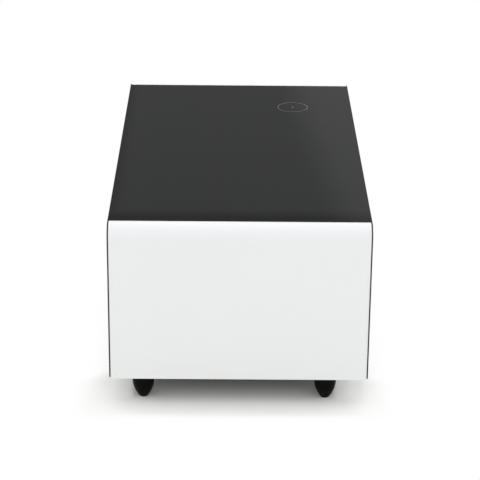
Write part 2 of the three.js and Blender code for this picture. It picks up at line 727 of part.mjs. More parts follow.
// Outlet panel with its two windows, the outlet block and the power inlet behind them
const outletWidth = 66;
const outletHeight = 96;
const outletTopInset = 36;
const outletZ = backFacingTopZ - outletTopInset - outletHeight / 2;
const outletDepth = 34;
const outletFlange = 5;
const outletCornerRadius = 4;
const inletWidth = 28;
const inletHeight = 20.4;
const inletDepth = 24;
const inletWall = 2;
const socketRadius = 16;
const socketRecess = 2;
const socketPitch = 38;
const socketSlotWidth = 2;
const socketSlotHeight = 8;
const socketSlotPitch = 12.7;
const socketPinRadius = 2.2;
const socketDepth = 14;
const usbWidth = 13;
const usbHeight = 5.2;
const usbPitch = 24;
const usbTongueHeight = 1.8;
function outletPanel() {
  const half = outletPanelWidth / 2;
  const sheet = facing(backFacingY, [-half, half], [bodyBottomZ - cutOverrun, backFacingTopZ]);
  const pastY = [backFacingY[0] - cutOverrun, backFacingY[1] + cutOverrun];
  const windowShape = (width, height, z) => {
    const xRange = [-width / 2 - seatGap, width / 2 + seatGap];
    return roundedRectangle(xRange, [z - height / 2 - seatGap, z + height / 2 + seatGap], outletCornerRadius);
  };
  return cut(
    sheet,
    extrudeY(windowShape(outletWidth, outletHeight, outletZ), pastY),
    extrudeY(windowShape(inletWidth, inletHeight, inletZ), pastY),
  );
}
addPart(table, 'outlet_panel', outletPanel(), blackPlastic);

// A moulded body whose face fills a window of the panel, with a flange behind the sheet
function windowBody(width, height, depth, z) {
  const outline = (grow) => {
    const xRange = [-width / 2 - grow, width / 2 + grow];
    return roundedRectangle(xRange, [z - height / 2 - grow, z + height / 2 + grow], outletCornerRadius);
  };
  const flangeY = [shellY - 2 * facingThickness, shellY];
  return join(extrudeY(outline(0), [sideY - depth, sideY]), extrudeY(outline(outletFlange), flangeY));
}
function socketCuts(z) {
  const pinZ = z - socketSlotHeight;
  const deepY = [sideY - socketDepth, sideY + cutOverrun];
  const slot = (x) => {
    const slotZ = [z - socketSlotHeight / 2 + socketRecess, z + socketSlotHeight / 2 + socketRecess];
    return block([x - socketSlotWidth / 2, x + socketSlotWidth / 2], deepY, slotZ);
  };
  return [
    drumY(socketRadius, [sideY - socketRecess, sideY + cutOverrun], 0, z),
    slot(-socketSlotPitch / 2),
    slot(socketSlotPitch / 2),
    drumY(socketPinRadius, deepY, 0, pinZ, smallSides),
  ];
}
function outletBlock() {
  const upperZ = outletZ + outletHeight / 2 - socketRadius - outletCornerRadius;
  const sockets = [upperZ, upperZ - socketPitch].flatMap(socketCuts);
  const usbZ = outletZ - outletHeight / 2 + 2 * usbHeight;
  const ports = [-1, 1].flatMap((side) => {
    const x = side * usbPitch / 2;
    const portX = [x - usbWidth / 2, x + usbWidth / 2];
    const portY = [sideY - socketDepth, sideY + cutOverrun];
    const [low, high] = [usbZ - usbHeight / 2, usbZ + usbHeight / 2];
    const tongueZ = usbZ + usbTongueHeight / 2;
    return [block(portX, portY, [low, usbZ - usbTongueHeight / 2]), block(portX, portY, [tongueZ, high])];
  });
  return cut(windowBody(outletWidth, outletHeight, outletDepth, outletZ), ...sockets, ...ports);
}
addPart(table, 'outlet_block', outletBlock(), blackPlastic);

function powerInlet() {
  const mouthX = [-inletWidth / 2 + inletWall, inletWidth / 2 - inletWall];
  const mouthZ = [inletZ - inletHeight / 2 + inletWall, inletZ + inletHeight / 2 - inletWall];
  const chamfer = inletHeight / 4;
  const mouth = polygon([
    [mouthX[0], mouthZ[0]], [mouthX[1], mouthZ[0]], [mouthX[1], mouthZ[1] - chamfer],
    [mouthX[1] - chamfer, mouthZ[1]], [mouthX[0] + chamfer, mouthZ[1]], [mouthX[0], mouthZ[1] - chamfer],
  ]);
  const recessY = [sideY - inletDepth + 2 * inletWall, sideY + cutOverrun];
  return cut(windowBody(inletWidth, inletHeight, inletDepth, inletZ), extrudeY(mouth, recessY));
}
addPart(table, 'power_inlet', powerInlet(), blackPlastic);

// Storage drawers: facing, box with a thick front, and a two-member slide on each side
const storageRunClearance = 2;
const storageFrontThickness = 16;
const storageSideThickness = 12;
const storageBottomThickness = 8;
const storageBackClearance = 6;
const storageFrontLap = 6;
const storageSideDrop = 28;
const storageSlideBackInset = 4.2;
const storageSlideRise = 90;
const storageFrontTopZ = backFacingTopZ - storageFrontLap;
const storageFacingInnerX = outletPanelWidth / 2 + facingGap;
const storageBoxX = [postX + slideDepth + 2 * seatGap, endInnerX - slideDepth - 2 * seatGap];
const storageBoxY = [rearPartitionY[1] + storageBackClearance, shellY];
const storageSlideFrontY = shellY - storageFrontThickness - storageRunClearance;
const storageSlideLength = storageSlideFrontY - rearPartitionY[1] - storageSlideBackInset;
const storageSlideY = storageSlideFrontY - storageSlideLength / 2;
const storageSlideZ = coreBottomZ + storageSlideRise;
function storageBox(side) {
  const innerX = [storageBoxX[0] + storageSideThickness, storageBoxX[1] - storageSideThickness];
  const tubZ = [coreBottomZ, storageFrontTopZ - storageSideDrop];
  const tub = block(span(side, ...storageBoxX), storageBoxY, tubZ);
  const frontX = [postX + storageRunClearance, endInnerX - storageRunClearance];
  const frontY = [shellY - storageFrontThickness, shellY];
  const front = block(span(side, ...frontX), frontY, [coreBottomZ, storageFrontTopZ]);
  const room = block(
    span(side, ...innerX),
    [storageBoxY[0] + storageSideThickness, shellY - storageFrontThickness],
    [coreBottomZ + storageBottomThickness, tubZ[1] + cutOverrun],
  );
  return join(cut(tub, room), front);
}
for (const [side, sign] of [['left', -1], ['right', 1]]) {
  const drawer = new THREE.Group();
  const facingX = span(sign, storageFacingInnerX, endX + cutOverrun);
  const sheet = facing(backFacingY, facingX, [bodyBottomZ - cutOverrun, backFacingTopZ]);
  addPart(drawer, `storage_${side}_facing`, sheet, blackGlass);
  addPart(drawer, `storage_${side}_box`, storageBox(sign), board);
  for (const [wall, distance, turnSign] of [['post', postX + seatGap, 1], ['end', carcassX, -1]]) {
    const place = [sign * distance, sign === turnSign, storageSlideY, storageSlideZ];
    const outer = outerMember(storageSlideLength, twoMemberReach);
    addMember(table, `storage_${side}_outer_rail_${wall}`, outer, ...place);
    const inner = innerMember(storageSlideLength, 1, slideMetal + slideStep);
    addMember(drawer, `storage_${side}_inner_rail_${wall}`, inner, ...place);
  }
  table.add(drawer);
}

// Speaker panels with vertical slots
const grillePitch = 8;
const grilleSlotWidth = 3.5;
const grilleMargin = 24;
const grilleBottomInset = 40;
const grilleTopInset = 36;
function speakerPanel(side) {
  const innerX = fridgeFacingX + facingGap;
  const pastZ = [bodyBottomZ - cutOverrun, frontFacingTopZ];
  const sheet = facing(frontFacingY, span(side, innerX, endX + cutOverrun), pastZ);
  const pastY = [frontFacingY[0] - cutOverrun, frontFacingY[1] + cutOverrun];
  const slotZ = [bodyBottomZ + grilleBottomInset, frontFacingTopZ - grilleTopInset];
  const places = spread([innerX + grilleMargin, endX - grilleMargin], grillePitch);
  const halfSlot = grilleSlotWidth / 2;
  const slots = places.map((x) => block(span(side, x - halfSlot, x + halfSlot), pastY, slotZ));
  return cut(sheet, mergeGeometries(slots));
}
addPart(table, 'left_speaker_panel', speakerPanel(-1), blackPlastic);
addPart(table, 'right_speaker_panel', speakerPanel(1), blackPlastic);

// Condenser with its fan, low behind the left grille
const condenserSideGap = 20;
const condenserPipeRoom = 34.5;
const condenserWidth = machineBayWidth - condenserSideGap - condenserPipeRoom;
const condenserHeight = 120;
const condenserDepth = 40;
const condenserGrilleGap = 6;
const finPitch = 19;
const finThickness = 1.2;
const condenserRows = 4;
const condenserTubeRadius = 4.5;
const condenserTubeSteps = 34;
const condenserX = [-endInnerX + condenserSideGap, -endInnerX + condenserSideGap + condenserWidth];
const condenserY = [-shellY + condenserGrilleGap, -shellY + condenserGrilleGap + condenserDepth];
const condenserZ = [baseTopZ + seatGap, baseTopZ + seatGap + condenserHeight];
const condenserRowGap = condenserHeight / condenserRows;
const condenserMidY = (condenserY[0] + condenserY[1]) / 2;
const condenserEndX = condenserX[1] + 2 * condenserTubeRadius;
const condenserRowZ = (row) => condenserZ[0] + condenserRowGap * (row + 0.5);
// One winding tube: straight rows joined by half circles, both ends on the fridge's side
function windingTube() {
  const path = new THREE.CurvePath();
  const bendRadius = condenserRowGap / 2;
  const point = (x, z) => new THREE.Vector3(x, condenserMidY, z);
  const turnX = [condenserX[0] + bendRadius, condenserX[1] - bendRadius];
  let from = point(condenserEndX, condenserRowZ(0));
  for (let row = 0; row < condenserRows; row++) {
    const toLeft = row % 2 === 0;
    const last = row + 1 === condenserRows;
    const endXHere = last ? condenserEndX : turnX[toLeft ? 0 : 1];
    const to = point(endXHere, condenserRowZ(row));
    path.add(new THREE.LineCurve3(from, to));
    if (last) break;
    const next = point(endXHere, condenserRowZ(row + 1));
    const out = (toLeft ? -1 : 1) * bendRadius * 4 / 3;
    path.add(new THREE.CubicBezierCurve3(to, point(to.x + out, to.z), point(to.x + out, next.z), next));
    from = next;
  }
  return tubeAlong(path, condenserTubeRadius, condenserTubeSteps);
}
function condenser() {
  const inset = condenserRowGap / 2;
  const places = spread([condenserX[0] + inset, condenserX[1] - 2 * inset], finPitch);
  const fins = places.map((x) => block([x - finThickness / 2, x + finThickness / 2], condenserY, condenserZ));
  return join(mergeGeometries(fins), windingTube());
}
addPart(table, 'condenser', condenser(), aluminium);

// Round speakers behind the grilles, between the condenser's height and the sub-top
const speakerRadius = 58;
const speakerDepth = 56;
const speakerFlange = 3;
const speakerRiseShare = 0.455;
const speakerMagnetHeight = 18;
const speakerRollHeight = 1.5;
const magnetShare = 0.6;
const neckShare = 0.45;
const coneShare = 0.82;
const capShare = 0.3;
const capDepthShare = 0.42;
const speakerZ = condenserZ[1] + (subTopBottomZ - condenserZ[1]) * speakerRiseShare;
function speaker() {
  const front = speakerDepth;
  const capZ = front * (1 - capDepthShare);
  const coneR = speakerRadius * coneShare;
  const capR = speakerRadius * capShare;
  const rim = front - speakerFlange;
  return turned([
    [0, 0], [speakerRadius * magnetShare, 0], [speakerRadius * magnetShare, speakerMagnetHeight],
    [speakerRadius * neckShare, speakerMagnetHeight], [coneR, rim], [speakerRadius, rim],
    [speakerRadius, front], [coneR + 2 * speakerFlange, front - speakerRollHeight],
    [coneR, front - speakerFlange / 2], [capR, capZ],
    [capR / 2, capZ + speakerFlange], [0, capZ + 1.5 * speakerFlange],
  ]);
}
for (const [side, sign] of [['left', -1], ['right', 1]]) {
  const driver = addPart(table, `${side}_speaker`, speaker(), blackPlastic);
  driver.rotation.x = Math.PI / 2;
  driver.position.set(sign * bayCentreX, -shellY + speakerDepth, speakerZ);
}

const fanSize = 120;
const fanThickness = 25;
const fanFlangeThickness = 4;
const fanBoreRadius = 57;
const fanDuctWall = 2;
const fanCornerRadius = 6;
const fanHoleRadius = 2.2;
const fanHolePitch = 105;
const motorRadius = 18;
const motorHeight = 6;
const strutWidth = 4;
const strutThickness = 4;
const fanHubRadius = 20;
const fanHubGap = 1;
const fanBladeCount = 7;
const fanTipGap = 2;
const fanBladeThickness = 1.6;
const shaftRadius = 2.5;
const fanZ = baseTopZ + seatGap + fanSize / 2;
const fanY = [condenserY[1] + seatGap, condenserY[1] + seatGap + fanThickness];
const hubY = [fanY[0] + fanHubGap, fanY[1] - motorHeight - fanHubGap];
function fanFlange(yRange) {
  const half = fanSize / 2;
  const plate = roundedRectangle([-half, half], [-half, half], fanCornerRadius);
  plate.holes.push(circle(fanBoreRadius, roundSides));
  for (const x of [-fanHolePitch / 2, fanHolePitch / 2]) {
    for (const z of [-fanHolePitch / 2, fanHolePitch / 2]) {
      plate.holes.push(circle(fanHoleRadius, smallSides, x, z));
    }
  }
  return extrudeY(plate, yRange);
}
function fanFrame() {
  const duct = circle(fanBoreRadius + fanDuctWall, roundSides, 0, 0, new THREE.Shape());
  duct.holes.push(circle(fanBoreRadius, roundSides));
  const motorY = [fanY[1] - motorHeight, fanY[1]];
  const strutReach = fanBoreRadius + fanDuctWall / 2;
  const strutY = [fanY[1] - strutThickness, fanY[1]];
  return join(
    fanFlange([fanY[0], fanY[0] + fanFlangeThickness]),
    fanFlange([fanY[1] - fanFlangeThickness, fanY[1]]),
    extrudeY(duct, [fanY[0] + fanFlangeThickness / 2, fanY[1] - fanFlangeThickness / 2]),
    drumY(motorRadius, motorY, 0, 0),
    drumY(shaftRadius, [hubY[0] + fanHubGap, motorY[1]], 0, 0, smallSides),
    block([-strutReach, strutReach], strutY, [-strutWidth / 2, strutWidth / 2]),
    block([-strutWidth / 2, strutWidth / 2], strutY, [-strutReach, strutReach]),
  );
}
addPart(table, 'fan_frame', fanFrame(), blackPlastic).position.set(-bayCentreX, 0, fanZ);

// A twisted blade standing along +Z: chord and pitch fall from the hub to the tip
const rootChord = 15;
const tipChord = 22;
const rootPitch = 0.75;
const tipPitch = 0.42;
const bladeSteps = 3;
function fanBlade() {
  const [root, tip] = [fanHubRadius - fanBladeThickness, fanBoreRadius - fanTipGap];
  const middleY = (hubY[0] + hubY[1]) / 2;
  const rings = Array.from({ length: bladeSteps + 1 }, (_, step) => {
    const share = step / bladeSteps;
    const chord = rootChord + (tipChord - rootChord) * share;
    const pitch = rootPitch + (tipPitch - rootPitch) * share;
    const corners = [[-1, -1], [1, -1], [1, 1], [-1, 1]];
    return corners.map(([along, across]) => {
      const [u, v] = [along * chord / 2, across * fanBladeThickness / 2];
      const x = u * Math.cos(pitch) - v * Math.sin(pitch);
      const y = u * Math.sin(pitch) + v * Math.cos(pitch);
      return new THREE.Vector3(x, middleY + y, root + (tip - root) * share);
    });
  });
  return loft(rings);
}
function fanWheel() {
  const hub = drumY(fanHubRadius, hubY, 0, 0);
  const turnOf = (index) => index * 2 * Math.PI / fanBladeCount;
  const blades = Array.from({ length: fanBladeCount }, (_, index) => fanBlade().rotateY(turnOf(index)));
  // The bore's flat sides, and not its corners, clear the shaft's corners as it turns
  const boreRadius = (shaftRadius + seatGap) / Math.cos(Math.PI / smallSides);
  const bore = drumY(boreRadius, [hubY[0] - cutOverrun, hubY[1] + cutOverrun], 0, 0, smallSides);
  return cut(join(hub, ...blades), bore);
}
addPart(table, 'fan_wheel', fanWheel(), blackPlastic).position.set(-bayCentreX, 0, fanZ);

// Compressor on its bracket, behind the fan
const compressorRadius = 62;
const compressorHeight = 140;
const compressorFanGap = 58.9;
const bracketSideGap = 17.25;
const bracketX = machineBayWidth - 2 * bracketSideGap;
const bracketY = 130;
const compressorY = fanY[1] + compressorFanGap + bracketY / 2;
const bracketThickness = 3;
const grommetRadius = 11;
const grommetHeight = 12;
const grommetInset = 16;
const bracketTopZ = baseTopZ + seatGap + grommetHeight + bracketThickness;
function compressorBracket() {
  const [halfX, halfY] = [bracketX / 2, bracketY / 2];
  const plate = roundedRectangle([-halfX, halfX], [-halfY, halfY], grommetInset);
  const sheet = extrudeZ(plate, [grommetHeight, grommetHeight + bracketThickness]);
  const grommets = [];
  for (const x of [-halfX + grommetInset, halfX - grommetInset]) {
    for (const y of [-halfY + grommetInset, halfY - grommetInset]) {
      grommets.push(drumZ(grommetRadius, [0, grommetHeight + 2 * bracketThickness], x, y, smallSides));
    }
  }
  return join(sheet, ...grommets);
}
const bracket = addPart(table, 'compressor_bracket', compressorBracket(), zincSteel);
bracket.position.set(-bayCentreX, compressorY, baseTopZ + seatGap);

// Shell of two deep-drawn cups: the seam stands out as a narrow collar
const shellRadiusShares = [0, 0.62, 0.88, 1, 1, 1.05, 1.05, 0.98, 0.97, 0.86, 0.55, 0];
const shellHeightShares = [0, 0, 0.06, 0.17, 0.52, 0.52, 0.56, 0.56, 0.8, 0.93, 1, 1];
const dischargePort = { angle: -0.5, heightShare: 0.35 };
const suctionPort = { angle: 0.9, heightShare: 0.7 };
const portLength = 14;
const portWall = 1.2;
const terminalWidth = 44;
const terminalHeight = 46;
const terminalDepth = 16;
function compressorPort({ angle, heightShare }) {
  const reach = [compressorRadius / 2, compressorRadius + portLength];
  const stub = drumX(pipeRadius + portWall, reach, 0, 0, smallSides);
  return stub.rotateZ(angle).translate(0, 0, compressorHeight * heightShare);
}
function portMouth({ angle, heightShare }, extra) {
  const reach = compressorRadius + portLength + extra;
  const z = bracketTopZ + seatGap + compressorHeight * heightShare;
  return [-bayCentreX + reach * Math.cos(angle), compressorY + reach * Math.sin(angle), z];
}
function compressor() {
  const shell = turned(shellRadiusShares.map((share, index) => {
    return [compressorRadius * share, compressorHeight * shellHeightShares[index]];
  }));
  const terminalX = [-compressorRadius - terminalDepth, -compressorRadius / 2];
  const terminalY = [-terminalWidth / 2, terminalWidth / 2];
  const terminalLow = compressorHeight / 4;
  const terminal = block(terminalX, terminalY, [terminalLow, terminalLow + terminalHeight]);
  return join(shell, terminal, compressorPort(dischargePort), compressorPort(suctionPort));
}
const compressorMesh = addPart(table, 'compressor', compressor(), blackEnamel);
compressorMesh.position.set(-bayCentreX, compressorY, bracketTopZ + seatGap);

// Pipes: hot gas to the condenser, cold gas back from the fridge, liquid through the drier
const pipeLead = 16;
const pipeSteps = 20;
const pipeEndX = -fridgeWidth / 2 - seatGap;
const partitionLeadX = -partitionOuterX - pipeLead;
function dischargePipe() {
  const topRow = condenserRowZ(condenserRows - 1);
  const clearX = condenserEndX + seatGap + pipeLead;
  const [startX, startY, startZ] = portMouth(dischargePort, seatGap);
  const lead = portMouth(dischargePort, pipeLead);
  return tube([
    [startX, startY, startZ],
    lead,
    [clearX, lead[1] - pipeLead, (startZ + topRow) / 2],
    [clearX, condenserMidY + 2 * pipeLead, topRow],
    [clearX, condenserMidY + pipeLead / 4, topRow],
    [clearX - pipeLead / 2, condenserMidY, topRow],
    [condenserEndX + seatGap, condenserMidY, topRow],
  ], pipeRadius, pipeSteps);
}
addPart(table, 'discharge_pipe', dischargePipe(), copper);

function suctionPipe() {
  const lead = portMouth(suctionPort, pipeLead);
  const [y, z] = [suctionHoleY, pipeHoleZ];
  return tube([
    portMouth(suctionPort, seatGap),
    lead,
    [lead[0], y - pipeLead, lead[2] + pipeLead],
    [partitionLeadX - pipeLead, y, z - pipeLead],
    [partitionLeadX, y, z],
    [-partitionOuterX, y, z],
    [pipeEndX, y, z],
  ], pipeRadius, pipeSteps);
}
addPart(table, 'suction_pipe', suctionPipe(), copper);

const drierRadius = 9;
const drierLength = 90;
const drierNeck = 10;
const drierBackInset = 70;
const drierRise = 118;
const capillaryRadius = 2.5;
const drierX = -partitionOuterX - pipeLead;
const drierY = condenserMidY + drierBackInset;
const drierZ = [baseTopZ + drierRise, baseTopZ + drierRise + drierLength];
function filterDrier() {
  const body = turned([
    [0, -drierNeck], [capillaryRadius * 2, -drierNeck], [drierRadius, 0], [drierRadius, drierLength],
    [capillaryRadius * 2, drierLength + drierNeck], [0, drierLength + drierNeck],
  ], roundSides / 2).translate(drierX, drierY, drierZ[0]);
  const bottomRow = condenserRowZ(0);
  const inlet = tube([
    [condenserEndX + seatGap, condenserMidY, bottomRow],
    [condenserEndX + seatGap + pipeLead / 4, condenserMidY, bottomRow],
    [drierX, condenserMidY + pipeLead, bottomRow],
    [drierX, condenserMidY + 3 * pipeLead, bottomRow + pipeLead],
    [drierX, drierY, drierZ[0] - 2 * pipeLead],
    [drierX, drierY, drierZ[0]],
  ], capillaryRadius, pipeSteps);
  const [y, z] = [capillaryHoleY, pipeHoleZ];
  const outlet = tube([
    [drierX, drierY, drierZ[1]],
    [drierX, drierY, drierZ[1] + pipeLead],
    [drierX, y - 2 * pipeLead, z - pipeLead / 2],
    [drierX, y - pipeLead / 2, z],
    [-partitionOuterX, y, z],
    [pipeEndX, y, z],
  ], capillaryRadius, pipeSteps);
  return join(body, inlet, outlet);
}
addPart(table, 'filter_drier', filterDrier(), copper);
addPart(table, 'base_panel', basePanel(), board);

// Power supply on the base panel of the right bay: finned case, feet and a row of screw terminals
const supplyX = 150;
const supplyY = 96;
const supplyHeight = 44;
const supplyFootHeight = 3;
const supplyFootReach = 12;
const supplyFinPitch = 12;
const supplyFinHeight = 6;
const supplyFinThickness = 2;
const terminalStripDepth = 12;
const terminalPitch = 11;
function powerSupply() {
  const [halfX, halfY] = [supplyX / 2, supplyY / 2];
  const body = block([-halfX, halfX], [-halfY, halfY], [0, supplyHeight]);
  const footX = [-halfX - supplyFootReach, halfX + supplyFootReach];
  const feet = block(footX, [-halfY, halfY], [0, supplyFootHeight]);
  const finZ = [supplyHeight - supplyFinHeight, supplyHeight + supplyFinHeight];
  const finSpan = [-halfX + supplyFinPitch, halfX - supplyFinPitch];
  const fins = spread(finSpan, supplyFinPitch).map((x) => {
    return block([x - supplyFinThickness / 2, x + supplyFinThickness / 2], [-halfY, halfY], finZ);
  });
  const stripY = [-halfY - terminalStripDepth, -halfY + supplyFinThickness];
  const strip = block([-halfX, halfX], stripY, [supplyFootHeight, supplyHeight / 2]);
  const slots = spread([-halfX + terminalPitch, halfX - terminalPitch], terminalPitch).map((x) => {
    const slotY = [-halfY - terminalStripDepth - cutOverrun, -halfY - supplyFinThickness];
    return block([x - terminalPitch / 4, x + terminalPitch / 4], slotY, [supplyHeight / 4, supplyHeight]);
  });
  return join(body, feet, ...fins, cut(strip, mergeGeometries(slots)));
}
const supplyBackInset = 147;
const supplyPlaceY = rearPartitionY[0] - supplyBackInset;
const supply = addPart(table, 'power_supply', powerSupply(), aluminium);
supply.position.set(bayCentreX, supplyPlaceY, baseTopZ + seatGap);

// Control board on stand-offs against the rear partition
const controlBoardX = 150;
const controlBoardZ = 110;
const controlBoardThickness = 1.6;
const standoffLength = 8;
const standoffRadius = 3;
const standoffInset = 6;
const controlTopInset = 64;
const controlCentreZ = subTopBottomZ - controlTopInset - controlBoardZ / 2;
// Components by place and size as shares of the board's half width, half height and of their tallest one
const tallestComponent = 30;
const componentShares = [
  { x: -0.6, z: 0.45, width: 0.26, height: 0.3, rise: 1 },
  { x: -0.05, z: 0.5, width: 0.2, height: 0.22, rise: 0.6 },
  { x: 0.5, z: 0.55, width: 0.34, height: 0.12, rise: 0.35 },
  { x: 0.55, z: -0.1, width: 0.28, height: 0.28, rise: 0.12 },
  { x: -0.1, z: -0.72, width: 0.7, height: 0.14, rise: 0.4 },
];
const capacitorShares = [{ x: -0.72, z: -0.2 }, { x: -0.42, z: -0.2 }, { x: -0.12, z: -0.1 }];
const capacitorRadius = 8;
function controlBoard() {
  const [halfX, halfZ] = [controlBoardX / 2, controlBoardZ / 2];
  const sheet = block([-halfX, halfX], [-controlBoardThickness, 0], [-halfZ, halfZ]);
  const sink = -controlBoardThickness / 2;
  const components = componentShares.map(({ x, z, width, height, rise }) => block(
    [(x - width) * halfX, (x + width) * halfX],
    [-controlBoardThickness - tallestComponent * rise, sink],
    [(z - height) * halfZ, (z + height) * halfZ],
  ));
  const tall = [-controlBoardThickness - tallestComponent, sink];
  const capacitors = capacitorShares.map(({ x, z }) => {
    return drumY(capacitorRadius, tall, x * halfX, z * halfZ, roundSides / 2);
  });
  const posts = [-1, 1].flatMap((sideX) => [-1, 1].map((sideZ) => {
    const place = [sideX * (halfX - standoffInset), sideZ * (halfZ - standoffInset)];
    return drumY(standoffRadius, [sink, standoffLength], ...place, smallSides);
  }));
  return join(sheet, ...components, ...capacitors, ...posts);
}
const controlBoardY = rearPartitionY[0] - seatGap - standoffLength;
const boardMesh = addPart(table, 'control_board', controlBoard(), circuitBoard);
boardMesh.position.set(bayCentreX, controlBoardY, controlCentreZ);

export default table;
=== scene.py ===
# %% [markdown]
# # A refrigerator coffee table, dressed in Blender
# The table has a black glass top, two white ends that round over into it, black long sides and four
# dark rubber feet. The front hides a fridge drawer and two speakers, the back two storage drawers
# and a panel of sockets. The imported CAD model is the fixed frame: it gives every place and size, and
# this lesson gives the finishes, the round forms that the CAD keeps coarse, and the small details.

# %% Load the frame
import json
import math

import bmesh
import bpy
import numpy as np
from mathutils import Matrix, Vector


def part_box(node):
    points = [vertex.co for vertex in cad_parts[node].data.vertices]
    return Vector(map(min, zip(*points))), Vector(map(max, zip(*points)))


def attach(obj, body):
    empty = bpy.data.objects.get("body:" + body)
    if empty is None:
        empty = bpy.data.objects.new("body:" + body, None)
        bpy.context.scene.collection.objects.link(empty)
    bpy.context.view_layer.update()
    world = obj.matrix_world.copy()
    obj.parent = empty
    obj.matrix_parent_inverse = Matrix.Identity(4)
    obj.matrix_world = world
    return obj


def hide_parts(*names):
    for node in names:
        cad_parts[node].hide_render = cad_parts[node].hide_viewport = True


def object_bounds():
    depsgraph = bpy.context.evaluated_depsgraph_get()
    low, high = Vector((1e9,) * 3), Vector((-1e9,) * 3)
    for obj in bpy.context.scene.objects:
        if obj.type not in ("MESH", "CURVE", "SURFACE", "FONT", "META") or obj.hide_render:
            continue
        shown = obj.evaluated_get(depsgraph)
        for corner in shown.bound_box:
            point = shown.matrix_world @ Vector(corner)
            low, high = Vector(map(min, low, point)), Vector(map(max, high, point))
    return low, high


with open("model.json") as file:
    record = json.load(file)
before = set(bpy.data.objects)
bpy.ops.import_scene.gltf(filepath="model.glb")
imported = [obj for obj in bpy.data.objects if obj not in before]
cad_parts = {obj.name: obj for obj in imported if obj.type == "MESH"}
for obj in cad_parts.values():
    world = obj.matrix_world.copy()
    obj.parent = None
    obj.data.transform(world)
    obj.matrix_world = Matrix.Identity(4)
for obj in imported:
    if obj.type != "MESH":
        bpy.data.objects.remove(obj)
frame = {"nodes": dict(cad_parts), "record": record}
cad_low, cad_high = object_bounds()


def middle_of(part):
    """The middle of a CAD part's box."""
    low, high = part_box(part)
    return (low + high) / 2


print("size in metres:", [round(high - low, 4) for low, high in zip(cad_low, cad_high)])

# %% [markdown]
# ## The camera
# The photograph looks at the table's left end from a little above, with a long lens, so upright
# edges stay almost upright. The camera could be aimed with a Track To constraint, but its three
# directions are written out here, because the photograph is also turned by half a degree, and
# because a matrix built from directions shows what yaw, pitch and roll do.

# %% Camera
camera_place = Vector((-4.5205, 0.0247, 2.0417))
camera_yaw, camera_pitch, camera_roll = 0.0063, 0.3876, 0.0096
camera_lens = 138.90


def camera_directions(yaw, pitch, roll):
    """Forward is +X turned by yaw about Z and tipped down by pitch. Right lies level across it,
    up stands square to both, and roll turns right and up about forward."""
    forward = Vector((math.cos(yaw) * math.cos(pitch), -math.sin(yaw) * math.cos(pitch),
                      -math.sin(pitch)))
    level = Vector((-math.sin(yaw), -math.cos(yaw), 0))
    above = level.cross(forward)
    right = math.cos(roll) * level + math.sin(roll) * above
    return right, right.cross(forward), forward


right, up, forward = camera_directions(camera_yaw, camera_pitch, camera_roll)
camera = bpy.data.objects.new("camera", bpy.data.cameras.new("camera"))
camera.data.lens = camera_lens
camera.data.sensor_width = 36
camera.data.clip_end = 200
camera.matrix_world = Matrix((right, up, -forward)).transposed().to_4x4()
camera.location = camera_place
bpy.context.scene.collection.objects.link(camera)
bpy.context.scene.camera = camera
print("camera looks along", tuple(round(part, 3) for part in forward))

# %% [markdown]
# ## Nodes for a finish
# A finish here is one Principled shader whose colour, roughness and relief vary a little. Image
# textures would do it too, but noise computed from Object coordinates needs no file and has a real
# scale in metres. These helpers keep each finish to a few lines.

# %% Finish helpers
def new_finish(name, **sockets):
    """A material with one Principled shader; a value that is the same all over goes on its socket."""
    material = bpy.data.materials.new(name)
    material.use_nodes = True
    shader = material.node_tree.nodes["Principled BSDF"]
    for socket, value in sockets.items():
        shader.inputs[socket.replace("_", " ")].default_value = value
    return material


def node(material, kind, inputs=(), **settings):
    """Adds a node. inputs is a dict of socket to a number, a colour or another node's output."""
    made = material.node_tree.nodes.new("ShaderNode" + kind)
    for key, value in settings.items():
        setattr(made, key, value)
    for socket, value in dict(inputs).items():
        if isinstance(value, bpy.types.NodeSocket):
            material.node_tree.links.new(value, made.inputs[socket])
        else:
            made.inputs[socket].default_value = value
    return made


def object_place(material, stretch=(1, 1, 1)):
    """Object coordinates times stretch: more than 1 squeezes a pattern along that axis."""
    place = node(material, "TexCoord").outputs["Object"]
    return node(material, "Mapping", {"Vector": place, "Scale": stretch}).outputs["Vector"]


def axes(material):
    """The three Object coordinates, as outputs."""
    place = node(material, "SeparateXYZ", {"Vector": object_place(material)})
    return place.outputs["X"], place.outputs["Y"], place.outputs["Z"]


def noise(material, waves, detail=3.0, stretch=(1, 1, 1)):
    """Noise from 0 to 1 with that many waves per metre."""
    inputs = {"Vector": object_place(material, stretch), "Scale": waves, "Detail": detail}
    return node(material, "TexNoise", inputs).outputs["Fac"]


def between(material, value, low, high, start=0.35, end=0.65, **settings):
    """low where value is at or below start, high at or above end, and straight between."""
    inputs = {"Value": value, "From Min": start, "From Max": end, "To Min": low, "To Max": high}
    return node(material, "MapRange", inputs, **settings).outputs["Result"]


def blend_colours(material, share, first, second):
    """first where share is 0, second where it is 1. Each is a colour or another node's output."""
    first, second = ((*one, 1) if isinstance(one, tuple) else one for one in (first, second))
    inputs = {0: share, 6: first, 7: second}
    return node(material, "Mix", inputs, data_type="RGBA").outputs[2]


def combine(material, operation, value, *others):
    """Math nodes in a row: MULTIPLY of masks is where all hold, MAXIMUM where any does."""
    for other in others or (0.0,):
        value = node(material, "Math", {0: value, 1: other}, operation=operation).outputs[0]
    return value


def shader_input(material, socket, value):
    """Links a node's output to that socket of the material's shader."""
    shader = material.node_tree.nodes["Principled BSDF"]
    material.node_tree.links.new(value, shader.inputs[socket])


def surface(material, colour, roughness, height, depth, strength=1.0):
    """Feeds the shader. In the relief, height from 0 to 1 stands for depth metres."""
    inputs = {"Height": height, "Distance": depth, "Strength": strength}
    shader_input(material, "Base Color", colour)
    shader_input(material, "Roughness", roughness)
    shader_input(material, "Normal", node(material, "Bump", inputs).outputs["Normal"])
    return material


